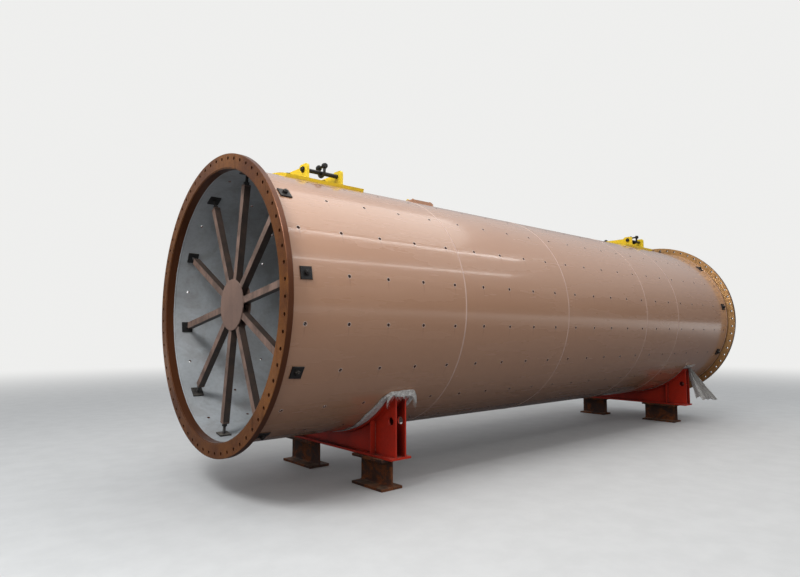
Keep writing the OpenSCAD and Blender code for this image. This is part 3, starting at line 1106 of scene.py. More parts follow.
@dataclass(frozen=True)
class PackingWeave(Finish):
    """Off-white woven raffia, with painted shade in its creases."""

    stain: Colour = srgb(168, 146, 124)
    # Painted shade in the cloth's creases.
    crease: Colour = srgb(116, 104, 94)

    def build(self, effects: Effects) -> bpy.types.Material:
        """Builds the packing cloth's material.

        Args:
            effects: The shared effects.

        Returns:
            The material.
        """
        coat = Coat(self.name, effects)
        graph = coat.graph
        weave = coat.group(effects.weave, Scale=70.0)
        coat.colour = graph.mix(weave.outputs["Shade"], self.other, self.base)
        stain = graph.noise(graph.place(), scale=7.0, detail=5.0, roughness=0.6)
        coat.lay(graph.times(graph.band(stain, 0.5, 0.75), 0.3), self.stain)
        ridges = graph.noise(graph.stretched(graph.place(), (1.0, 2.6, 2.6)), scale=17.0,
                             detail=4.0, roughness=0.6, distortion=0.8)
        flat = graph.band(graph.math("ABSOLUTE", graph.minus(ridges, 0.5)), 0.0, 0.1)
        # Painted shade: darker away from the raised crease lines.
        coat.lay(graph.times(graph.minus(1.0, flat), 0.5), self.crease)
        coat.relief(graph.plus(graph.times(weave.outputs["Height"], 0.15), flat), 0.004)
        return coat.finish(Roughness=self.roughness, Sheen_Weight=0.3)


@dataclass(frozen=True)
class Palette:
    """Every finish of the mill."""

    shell: ShellPaint = ShellPaint("shell_paint", srgb(186, 142, 113), srgb(176, 129, 101),
                                   roughness=0.27)
    seam: Finish = Finish("seam_paint", srgb(212, 180, 164), srgb(200, 164, 146),
                          roughness=0.34, wear=0.0, round_edge=0.001)
    flange: FlangeVarnish = FlangeVarnish("flange_varnish", srgb(92, 42, 18), srgb(46, 22, 12),
                                          roughness=0.36)
    spider: Finish = Finish("spider_primer", srgb(140, 112, 98), srgb(112, 90, 80),
                            roughness=0.6)
    arm: ArmSteel = ArmSteel("arm_steel", srgb(146, 118, 104), srgb(96, 78, 68), roughness=0.55)
    black: Finish = Finish("black_paint", srgb(24, 23, 23), srgb(38, 34, 31), wear=0.7,
                           round_edge=0.002)
    # Strong painted shade: it blackens the gap between the saddle's webs.
    saddle: Finish = Finish("saddle_red", srgb(222, 48, 12), srgb(158, 28, 9), wear=0.45,
                            grime=0.97)
    stitch: Finish = Finish("stitch_pink", srgb(176, 98, 84), srgb(140, 60, 48), wear=0.3)
    rust: RolledRust = RolledRust("rolled_rust", srgb(74, 46, 34), srgb(56, 36, 28),
                                  roughness=0.7, wear=0.6)
    yellow: Finish = Finish("lifting_yellow", srgb(252, 222, 52), srgb(240, 200, 34),
                            roughness=0.42, wear=0.45)
    cloth: PackingWeave = PackingWeave("packing_cloth", srgb(252, 251, 248),
                                       srgb(214, 208, 199), roughness=0.85)

    def build(self, effects: Effects) -> dict[str, bpy.types.Material]:
        """Builds every material, under its field's name."""
        return {name: getattr(self, name).build(effects) for name in self.__dataclass_fields__}


@dataclass
class Assembly:
    """One sub-assembly: it dresses its CAD nodes and builds the pieces that go with them."""

    frame: dict
    mill: MillFrame
    paints: dict[str, bpy.types.Material]

    def dress(self, paint: str, slot: str, *nodes: str) -> None:
        """Gives CAD nodes a finish.

        Args:
            paint: The finish.
            slot: The record's material slot; not used.
            *nodes: The nodes.
        """
        for name in nodes:
            node = self.frame["nodes"][name]
            node.data.materials.clear()
            node.data.materials.append(self.paints[paint])

    def finish_piece(self, pile: MeshPile, name: str, paint: str, slot: str,
                     *stands_for: str) -> bpy.types.Object:
        """Turns a pile into a named piece.

        Args:
            pile: The solids.
            name: Name of the piece.
            paint: Its finish.
            slot: The record's material slot; not used.
            *stands_for: CAD nodes that it replaces.

        Returns:
            The piece.
        """
        piece = pile.to_object(name, self.paints[paint])
        if stands_for:
            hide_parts(*stands_for)
        LOG.info("piece %s", name)
        return piece

    def build(self) -> None:
        """Builds the sub-assembly."""
        raise NotImplementedError


@dataclass
class Shell(Assembly):
    """The rolled shell with its girth welds."""

    seams: tuple[float, ...] = (-2.825, -0.690, 1.650, 2.850)
    courses: int = 5
    bead_width: float = 0.024
    bead_height: float = 0.0026
    bead_wander: float = 0.0022
    necks: tuple[float, ...] = (-5.160, 5.160)

    def girth_bead(self, pile: MeshPile, x: float, radius: float, outward: int,
                   width: float, seed: int) -> None:
        """Lays a rippled bead right round the mill.

        Args:
            pile: Where it goes.
            x: Its place along the mill.
            radius: Radius of the surface that it lies on.
            outward: 1 on the outside of the shell and -1 on the inside.
            width: Its width.
            seed: Start of its random ripple.
        """
        steps = 620
        shape = [(-0.5, -0.8), (-0.36, 0.5), (-0.12, 1.0), (0.12, 1.0), (0.36, 0.5), (0.5, -0.8)]
        start = random.Random(seed).uniform(0, 50)
        rings = []
        for step in range(steps):
            turn = 360 * step / steps
            angle = math.radians(turn)
            spot = Vector((math.cos(angle) * 9, math.sin(angle) * 9, start))
            wander = self.bead_wander * noise.noise(spot)
            swell = 1 + 0.22 * noise.noise(spot * 3.1) + 0.22 * math.sin(step * 2.4)
            rings.append([
                self.mill.radial(turn, radius + outward * self.bead_height * high
                                 * (swell if high > 0 else 1.0),
                                 x + wander + along * width)
                for along, high in shape])
        pile.loft(rings, closed=True)

    def build(self) -> None:
        """Paints the courses and lays the welds."""
        self.dress("shell", "shell_paint", *[f"shell_course_{k + 1}" for k in range(self.courses)])
        outside, inside = MeshPile(), MeshPile()
        for places, width, first_seed in ((self.seams, self.bead_width, 0),
                                          (self.necks, 0.8 * self.bead_width, 20)):
            for seed, x in enumerate(places, first_seed):
                self.girth_bead(outside, x, self.mill.shell_r, 1, width, seed)
                self.girth_bead(inside, x, self.mill.bore_r, -1, self.bead_width, seed + 10)
        self.finish_piece(outside, "girth_welds_outside", "seam", "shell_paint")
        self.finish_piece(inside, "girth_welds_inside", "shell", "shell_paint")


@dataclass
class EndAssembly(Assembly):
    """A sub-assembly that stands at one end of the mill."""

    end: End = End.NEAR

    @property
    def label(self) -> str:
        """The end's name as node names use it."""
        return self.end.name.lower()


@dataclass
class EndFlange(EndAssembly):
    """One end flange."""

    def build(self) -> None:
        """Varnishes the flange."""
        self.dress("flange", "flange_varnish", f"{self.label}_flange")


@dataclass
class Spider(EndAssembly):
    """The bracing in one mouth: hub, arms, jack screws, foot plates and clamp plates."""

    arm_size: float = 0.075
    arm_end_r: float = 1.35027
    arm_cap_t: float = 0.012
    hub_r: float = 0.288
    screw_r: float = 0.018
    screw_pitch: float = 0.006
    screw_in_arm: float = 0.030
    screw_spin: float = 17.0
    screw_washer: tuple[float, float] = (0.034, 0.004)
    screw_nut: tuple[float, float] = (0.055, 0.0288)
    foot_inner_r: float = 1.4653
    clamp_side: float = 0.130
    clamp_t: float = 0.014
    clamp_seat: float = 0.0003
    clamp_bevel: float = 0.0022
    clamp_spin: float = 2.2
    stud_r: float = 0.015
    stud_washer: tuple[float, float] = (0.031, 0.003)
    stud_nut: tuple[float, float] = (0.0495, 0.024)
    stud_end: tuple[float, float, float] = (0.0156, 0.0035, 0.012)
    stud_sunk: float = 0.002
    weld_r: float = 0.005
    cap_weld_r: float = 0.0022

    @property
    def x(self) -> float:
        """The spider's place along the mill."""
        return self.end.value * self.mill.ring_end

    def build(self) -> None:
        """Dresses the steel and builds welds, screws and clamps."""
        self.dress("spider", "spider_primer", f"{self.label}_spider_hub")
        self.dress("arm", "spider_primer", f"{self.label}_spider_arms")
        self.dress("black", "black_steel", f"{self.label}_foot_plates")
        self.build_welds()
        self.build_screws()
        self.build_clamps()

    def build_welds(self) -> None:
        """Welds the arms to the hub plates and the caps to the arms."""
        pile = MeshPile()
        half = self.arm_size / 2
        foot, cap = self.hub_r + WELD_LIFT, self.arm_end_r - self.arm_cap_t
        bead_half = half - 0.004
        for index, angle in enumerate(self.mill.arm_angles()):
            place = self.mill.outward(angle, self.x, 0.0)
            for side in (-1, 1):
                along = side * (half + WELD_LIFT)
                pile.weld([place @ Vector((along, y, foot)) for y in (-bead_half, bead_half)],
                          self.weld_r, index * 2 + side)
                for ends in (((along, -half), (along, half)), ((-half, along), (half, along))):
                    pile.weld([place @ Vector((*end, cap)) for end in ends],
                              self.cap_weld_r, index * 7 + side)
        self.finish_piece(pile, f"{self.label}_spider_welds", "spider", "spider_primer")

    def build_screws(self) -> None:
        """Builds the threaded jack screws with their nuts and washers."""
        pile = MeshPile()
        start = self.arm_end_r - self.screw_in_arm
        washer_t = self.screw_washer[1]
        for index, angle in enumerate(self.mill.arm_angles()):
            spin = self.screw_spin * index
            pile.thread(self.screw_r, self.screw_pitch, self.foot_inner_r - start,
                        self.mill.outward(angle, self.x, start, spin))
            pile.washer(self.screw_r, *self.screw_washer,
                        self.mill.outward(angle, self.x, self.arm_end_r))
            pile.nut(*self.screw_nut, self.screw_r,
                     self.mill.outward(angle, self.x, self.arm_end_r + washer_t, spin))
        self.finish_piece(pile, f"{self.label}_threaded_jack_screws", "black", "black_steel",
                          f"{self.label}_jack_screws")

    def build_clamps(self) -> None:
        """Builds the clamp plates with their nuts, each turned a little on its stud."""
        plates, nuts = MeshPile(), MeshPile()
        dice = random.Random(11 + self.end.value)
        base = self.mill.shell_r + self.clamp_seat
        top = base + self.clamp_t
        nut_foot = top + self.stud_washer[1]
        stud_foot = nut_foot + self.stud_nut[1] - self.stud_sunk
        for angle in self.mill.arm_angles():
            spin = dice.gauss(0, self.clamp_spin)
            plates.plate((self.clamp_side, self.clamp_side, self.clamp_t),
                         self.mill.outward(angle, self.x, base + self.clamp_t / 2, spin),
                         self.clamp_bevel)
            nuts.washer(self.stud_r, *self.stud_washer, self.mill.outward(angle, self.x, top))
            turn = dice.uniform(0, 60)
            nuts.nut(*self.stud_nut, self.stud_r,
                     self.mill.outward(angle, self.x, nut_foot, turn))
            nuts.thread(*self.stud_end, self.mill.outward(angle, self.x, stud_foot, turn))
        self.finish_piece(plates, f"{self.label}_chamfered_clamp_plates", "black", "black_steel",
                          f"{self.label}_clamp_plates")
        self.finish_piece(nuts, f"{self.label}_clamp_nuts", "black", "black_steel")


@dataclass(frozen=True)
class SaddleSizes:
    """The sizes of one saddle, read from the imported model."""

    x: float
    base_z: float
    web_half_l: float
    web_outer: float
    rib_outer_y: float
    rib_tip: float
    cradle_half_w: float
    cradle_r: float
    cradle_deg: float

    @classmethod
    def measure(cls, label: str, mill: MillFrame) -> SaddleSizes:
        """Reads the sizes from the boxes of the saddle's plates.

        Args:
            label: The end of the mill that the saddle holds, as node names use it.
            mill: Sizes of the mill.

        Returns:
            The sizes of the saddle.
        """
        base_low, base_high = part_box(f"{label}_saddle_base")
        web_low, web_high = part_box(f"{label}_saddle_webs")
        rib_low, rib_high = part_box(f"{label}_saddle_ribs")
        cradle_low, cradle_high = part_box(f"{label}_saddle_cradle")
        cradle_r = mill.axis_z - cradle_low[2]
        return cls(
            x=(base_low[0] + base_high[0]) / 2,
            base_z=base_high[2],
            web_half_l=web_high[1],
            web_outer=(web_high[0] - web_low[0]) / 2,
            rib_outer_y=rib_high[1],
            rib_tip=(rib_high[0] - rib_low[0]) / 2,
            cradle_half_w=(cradle_high[0] - cradle_low[0]) / 2,
            cradle_r=cradle_r,
            cradle_deg=math.degrees(math.asin(cradle_high[1] / cradle_r)),
        )


@dataclass
class Saddle(EndAssembly):
    """One saddle: base plate, two webs, ribs, rolled cradle, and the stub beams under it."""

    web_t: float = 0.020
    rib_t: float = 0.020
    bead: float = 0.0055
    stitches: int = 7
    stitch_margins: tuple[float, float] = (0.03, 0.02)

    def build(self) -> None:
        """Dresses the steel and lays the welds."""
        label = self.label
        sizes = SaddleSizes.measure(label, self.mill)
        self.dress("saddle", "saddle_red", f"{label}_saddle_base", f"{label}_saddle_webs",
                   f"{label}_saddle_ribs", f"{label}_saddle_cradle")
        self.dress("rust", "rusty_steel", f"{label}_front_stub", f"{label}_back_stub")
        welds, stitches = MeshPile(), MeshPile()
        seed = 0
        for face in (-1, 1):
            for off, out in ((sizes.web_outer, 1), (sizes.web_outer - self.web_t, -1)):
                seed += 1
                place = sizes.x + face * (off + out * WELD_LIFT)
                self.web_foot_welds(welds, sizes, place, seed)
                self.cradle_weld(welds, sizes, place, seed + 40)
            for side in Side:
                seed += 1
                self.rib_welds(welds, stitches, sizes, face, side, seed)
        self.finish_piece(welds, f"{label}_saddle_welds", "saddle", "saddle_red")
        self.finish_piece(stitches, f"{label}_rib_stitches", "stitch", "saddle_red")

    def web_foot_welds(self, pile: MeshPile, sizes: SaddleSizes, x: float, seed: int) -> None:
        """Welds one face of a web to the base, between the ribs.

        Args:
            pile: Where the beads go.
            sizes: Sizes of the saddle.
            x: The bead's place along the mill.
            seed: Start of the random ripple.
        """
        stop = sizes.rib_outer_y + 0.002
        start = sizes.rib_outer_y - self.rib_t - 0.002
        runs = [(-sizes.web_half_l, -stop), (-start, start), (stop, sizes.web_half_l)]
        for index, run in enumerate(runs):
            pile.weld([Vector((x, y, sizes.base_z + WELD_LIFT)) for y in run],
                      self.bead, 3 * seed + index)

    def cradle_weld(self, pile: MeshPile, sizes: SaddleSizes, x: float, seed: int) -> None:
        """Welds one face of a web to the underside of the cradle.

        Args:
            pile: Where the bead goes.
            sizes: Sizes of the saddle.
            x: The bead's place along the mill.
            seed: Start of the random ripple.
        """
        reach = math.degrees(math.asin(sizes.web_half_l / sizes.cradle_r)) - 0.3
        steps = 90
        pile.weld([self.mill.radial(180 - reach + 2 * reach * k / steps,
                                    sizes.cradle_r + WELD_LIFT, x)
                   for k in range(steps + 1)], self.bead, seed)

    def rib_welds(self, pile: MeshPile, stitches: MeshPile, sizes: SaddleSizes, face: int,
                  side: Side, seed: int) -> None:
        """Welds one outer rib to its web in short stitches, and to the base and the cradle.

        Args:
            pile: Where the plain beads go.
            stitches: Where the pale stitches go.
            sizes: Sizes of the saddle.
            face: Side of the saddle along X.
            side: Side of the mill.
            seed: Start of the random ripple.
        """
        wall = sizes.x + face * (sizes.web_outer + WELD_LIFT)
        tip = sizes.x + face * sizes.rib_tip
        foot_margin, top_margin = self.stitch_margins
        for number, y in enumerate((sizes.rib_outer_y + WELD_LIFT,
                                    sizes.rib_outer_y - self.rib_t - WELD_LIFT)):
            edge = side.value * y
            top = self.mill.axis_z - math.sqrt(sizes.cradle_r ** 2 - y ** 2) - 2 * WELD_LIFT
            low = sizes.base_z + foot_margin
            pitch = (top - top_margin - low) / self.stitches
            for index in range(self.stitches):
                start = low + pitch * index
                stitches.weld([Vector((wall, edge, start)),
                               Vector((wall, edge, start + 0.68 * pitch))],
                              0.8 * self.bead, seed * 20 + index)
            for z in (sizes.base_z + WELD_LIFT, top):
                pile.weld([Vector((wall, edge, z)), Vector((tip, edge, z))],
                          self.bead, seed * 4 + number)


@dataclass
class Packing(EndAssembly):
    """The woven packing between one cradle and the shell, folded in three.

    Its edge profile gives the half width toward the near end at angles from the bottom.
    """

    profile: tuple[tuple[float, float], ...] = ((0, 1.0),)
    tail_deg: float = 3.2
    layers: int = 3
    cloth_t: float = 0.0016
    curls: bool = False
    lead_deg: float = 0.6
    free_w: float = 0.095
    sag_deg: float = 3.2
    straight: float = 0.022
    bend_r: float = 0.020
    lift: float = 0.0012
    layer_gap: float = 0.0024
    loose_gap: float = 0.011
    layer_step: float = 0.004
    edge_wander: float = 0.010
    droop_w: float = 0.1
    kept_share: float = 0.78
    settle: float = 0.03
    crumple_along: float = 0.012
    crumple_out: float = 0.016
    strand_r: float = 0.0013

    def half_width(self, turn: float) -> float:
        """The share of the half width that the near edge keeps at an angle.

        Args:
            turn: Angle from the bottom of the mill, in degrees.

        Returns:
            The share, round 1.
        """
        angle = abs(turn)
        for (start, low), (stop, high) in zip(self.profile, self.profile[1:]):
            if start <= angle <= stop:
                share = (angle - start) / (stop - start)
                share = share * share * (3 - 2 * share)
                return low + (high - low) * share
        return self.profile[-1][1]

    def section(self, sizes: SaddleSizes, half: float, turn: float,
                loose: float) -> list[tuple[float, float]]:
        """The folded cloth's outline across the saddle.

        Args:
            sizes: Sizes of the saddle.
            half: Half of the cloth's plain width.
            turn: Angle from the bottom of the mill, in degrees.
            loose: How far its layers have come apart, from 0 to 1.

        Returns:
            Points as place along the mill and distance from the axis.
        """
        points = []
        steps = 22
        gap = self.layer_gap + self.loose_gap * loose
        for layer in range(self.layers):
            low = self.mill.shell_r + self.lift + gap * layer
            for step in range(steps + 1):
                share = step / steps if layer % 2 == 0 else 1 - step / steps
                edge_spot = Vector((turn * 0.16, layer * 3.0, sizes.x))
                edge = self.edge_wander * noise.noise(edge_spot)
                reach = half * self.half_width(turn) if share < 0.5 else half
                off = (2 * share - 1) * (reach - self.layer_step * layer + edge)
                free = max(0.0, abs(off) - sizes.cradle_half_w) / self.droop_w
                spot = Vector((turn * 0.31, layer * 7.0 + sizes.x, off * 9))
                crease = (0.010 * loose + 0.006 * min(free, 1.5)) * noise.noise(spot * 1.7)
                droop = free * (0.004 + 0.003 * layer) + max(0.0, crease)
                points.append((sizes.x + off, low + droop))
        return points

    def curled(self, sizes: SaddleSizes, turn: float, x: float, radius: float) -> Vector:
        """Places a point of a cloth whose tails turn over the cradle's ends and hang down.

        Args:
            sizes: Sizes of the saddle.
            turn: Angle from the bottom of the mill, in degrees, if the cloth lay on the shell.
            x: Place along the mill.
            radius: Distance from the axis, if the cloth lay on the shell.

        Returns:
            The point.
        """
        side = math.copysign(1.0, turn)
        free = max(abs(x - sizes.x) - sizes.cradle_half_w, 0.0) / self.free_w
        sag = self.sag_deg * free ** 1.2
        start = sizes.cradle_deg + self.lead_deg - sag
        inner_r = self.mill.shell_r + self.lift
        ripple = noise.noise(Vector((x * 7.0, side * 3.0, 5.0)))
        run = math.radians(abs(turn) - start) * inner_r
        if run <= 0:
            return self.mill.radial(180 + turn, radius, x)
        bend_r = self.bend_r * (1 + 0.25 * ripple)
        lay = min(radius - inner_r, 0.8 * bend_r)
        swing = math.radians(90 + start + 10 * ripple)
        bent = min(max(run - self.straight, 0.0), bend_r * swing) / bend_r
        far_edge = min(max((x - sizes.x - 0.10) / 0.10, 0.0), 1.0)
        kept = self.kept_share + 0.5 * ripple + 0.2 * far_edge
        hung = run - 0.9 * math.radians(sag) * inner_r
        rest = max(hung * kept - self.straight - bend_r * swing, 0.0)
        crumple = noise.noise(Vector((x * 17, run * 9, side)))
        along = min(run, self.straight) + (bend_r - lay) * math.sin(bent) + rest * math.cos(bent)
        along += min(run / self.settle, 1.0) * self.crumple_along * crumple
        out = bend_r - (bend_r - lay) * math.cos(bent) + rest * math.sin(bent)
        billow = noise.noise(Vector((x * 21, rest * 10, side + 5)))
        out += min(rest / self.settle, 1.0) * self.crumple_out * billow
        slope = math.radians(start)
        tangent = Vector((0.0, side * math.cos(slope), math.sin(slope)))
        normal = Vector((0.0, side * math.sin(slope), -math.cos(slope)))
        root = self.mill.radial(180 + side * start, inner_r, x)
        return root + along * tangent + out * normal

    def turns(self, sizes: SaddleSizes, reach: float) -> list[float]:
        """The angles at which the cloth has a row of points, closer in its tails.

        Args:
            sizes: Sizes of the saddle.
            reach: Angle of the cloth's end from the bottom, in degrees.

        Returns:
            The angles in degrees.
        """
        bend = sizes.cradle_deg - 1.2 * self.sag_deg
        tail_rows, middle_rows = 44, 84
        tail = [bend + (reach - bend) * row / tail_rows for row in range(tail_rows + 1)]
        middle = [bend * row / middle_rows for row in range(1 - middle_rows, middle_rows)]
        return [-turn for turn in reversed(tail)] + middle + tail

    def build(self) -> None:
        """Builds the packing and its frayed ends."""
        sizes = SaddleSizes.measure(self.label, self.mill)
        low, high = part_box(f"{self.label}_packing_cloth")
        half = (high[0] - low[0]) / 2 - 0.003
        half_deg = math.degrees(math.asin(high[1] / (self.mill.shell_r + 0.0077)))
        rings: list[list[Vector]] = []
        reach = half_deg + self.tail_deg
        for turn in self.turns(sizes, reach):
            loose = max(0.0, (abs(turn) - half_deg + 1.0) / (self.tail_deg + 1.0))
            wave = 0.5 + 0.5 * math.sin(turn * 2.1)
            if self.curls:
                rings.append([self.curled(sizes, turn, x, radius)
                              for x, radius in self.section(sizes, half, turn, 0.35 * loose)])
                continue
            rings.append([
                self.mill.radial(
                    180 + turn + 0.9 * loose * noise.noise(Vector((x * 9, turn * 0.1, 2.0))),
                    radius + (0.014 + 0.012 * wave) * loose ** 2, x)
                for x, radius in self.section(sizes, half, turn, loose)])
        cloth = self.open_sheet(f"{self.label}_packing_sheet", rings)
        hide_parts(f"{self.label}_packing_cloth")
        fringe = self.build_fringe(sizes, half, reach)

    def open_sheet(self, name: str, rings: Sequence[Sequence[Vector]]) -> bpy.types.Object:
        """Makes a thin open sheet from rows of points.

        Args:
            name: Name of the piece.
            rings: The rows.

        Returns:
            The sheet.
        """
        count = len(rings[0])
        verts = [tuple(point) for ring in rings for point in ring]
        faces = [[row * count + k, row * count + k + 1,
                  (row + 1) * count + k + 1, (row + 1) * count + k]
                 for row in range(len(rings) - 1) for k in range(count - 1)]
        mesh = bpy.data.meshes.new(name)
        mesh.from_pydata(verts, [], faces)
        for polygon in mesh.polygons:
            polygon.use_smooth = True
        sheet = bpy.data.objects.new(name, mesh)
        bpy.context.scene.collection.objects.link(sheet)
        mesh.materials.append(self.paints["cloth"])
        solid = sheet.modifiers.new("thickness", "SOLIDIFY")
        solid.thickness = self.cloth_t
        solid.offset = 0.0
        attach(sheet, BODY)
        LOG.info("sheet %s", name)
        return sheet

    def build_fringe(self, sizes: SaddleSizes, half: float, reach: float) -> bpy.types.Object:
        """Builds the loose strands at both ends of the cloth.

        Args:
            sizes: Sizes of the saddle.
            half: Half of the cloth's width.
            reach: Angle of the cloth's end from the bottom, in degrees.

        Returns:
            The strands.
        """
        pile = MeshPile()
        dice = random.Random(3 + self.end.value)
        strands_a_metre, steps = 360, 5
        near_half = half * self.half_width(reach)
        for side in Side:
            for _ in range(round(strands_a_metre * half)):
                x = sizes.x + dice.uniform(-near_half, half)
                root_r = self.mill.shell_r + dice.uniform(0.002, 0.013 if self.curls else 0.046)
                length = dice.uniform(0.02, 0.08)
                drop, sway = dice.uniform(0.3, 1.1), dice.uniform(-0.4, 0.4)
                line = []
                for step in range(steps + 1):
                    t = step / steps
                    turn = side.value * (reach - 0.3
                                         + math.degrees(length * t / self.mill.shell_r))
                    if self.curls:
                        point = self.curled(sizes, turn, x, root_r)
                        point.x += sway * length * t
                    else:
                        point = self.mill.radial(180 + turn, root_r + 0.006 * t,
                                                 x + sway * length * t)
                        point.z -= drop * length * t * t
                    line.append(point)
                pile.tube(line, [self.strand_r - 0.0007 * step / steps
                                 for step in range(steps + 1)], sides=5)
        return self.finish_piece(pile, f"{self.label}_packing_fringe", "cloth", "white_cloth")


@dataclass
class HangingCloth(Packing):
    """The stiff hank of cloth that hangs at the far saddle and spreads outwards."""

    end: End = End.FAR
    gather: float = 0.62
    drop: float = 0.70
    folds: int = 6
    root: float = 0.018
    foot: float = 0.036
    near_share: float = 0.26
    hem: float = 0.014
    belly: float = 0.020
    sway: float = 0.03
    hem_wander: float = 0.09

    def fold_depth(self, spread: float) -> float:
        """The depth of the folds that takes the cloth's whole width up.

        Args:
            spread: Width that the gathered cloth covers.

        Returns:
            Half of the height of a fold.
        """
        low, high = 0.0, self.gather
        steps, halvings = 24, 24
        run = spread / self.folds / steps
        for _ in range(halvings):
            depth = (low + high) / 2
            rise = [depth * math.sin(2 * math.pi * k / steps) for k in range(steps + 1)]
            path = self.folds * sum(math.hypot(run, b - a) for a, b in zip(rise, rise[1:]))
            low, high = (depth, high) if path < self.gather else (low, depth)
        return low

    def build(self) -> None:
        """Builds the hanging hank as one gathered sheet."""
        low, high = (Vector(corner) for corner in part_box("far_hanging_cloth"))
        start = Vector((low.x + self.root, high.y - self.root, high.z - self.root))
        far_foot = Vector((high.x - self.foot, low.y + self.foot, low.z + self.foot))
        reach = far_foot - start
        near_foot = start + Vector((reach.x * self.near_share, reach.y * self.near_share, reach.z))
        outward = Vector((reach.x, reach.y, 0)).normalized()
        aside = Vector((-outward.y, outward.x, 0))
        rows, columns = 64, 168
        rings = []
        for row in range(rows + 1):
            down = row / rows
            belly = self.belly * math.sin(math.pi * down)
            inner = start.lerp(near_foot, down) - outward * (self.hem + belly)
            outer = start.lerp(far_foot, down) + outward * (self.hem + 0.4 * belly)
            depth = self.fold_depth((outer - inner).length)
            ring = []
            for column in range(columns + 1):
                across = column / columns
                wander = noise.noise(Vector((across * 5, down * 2.5, 4.0)))
                uneven = across + 0.11 * math.sin(7.0 * across + 0.6) * math.sin(math.pi * across)
                phase = uneven * self.folds * 2 * math.pi + 2.2 * down * wander
                deep = depth * (1 + 0.45 * math.sin(4.1 * across * math.pi + 1.0))
                point = inner.lerp(outer, across) + aside * (deep * math.sin(phase)
                                                             + self.sway * down * wander)
                point.z -= self.hem_wander * down * noise.noise(Vector((across * 4, 9.0, 1.0)))
                ring.append(point)
            rings.append(ring)
        cloth = self.open_sheet("far_hanging_hank", rings)
        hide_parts("far_hanging_cloth")


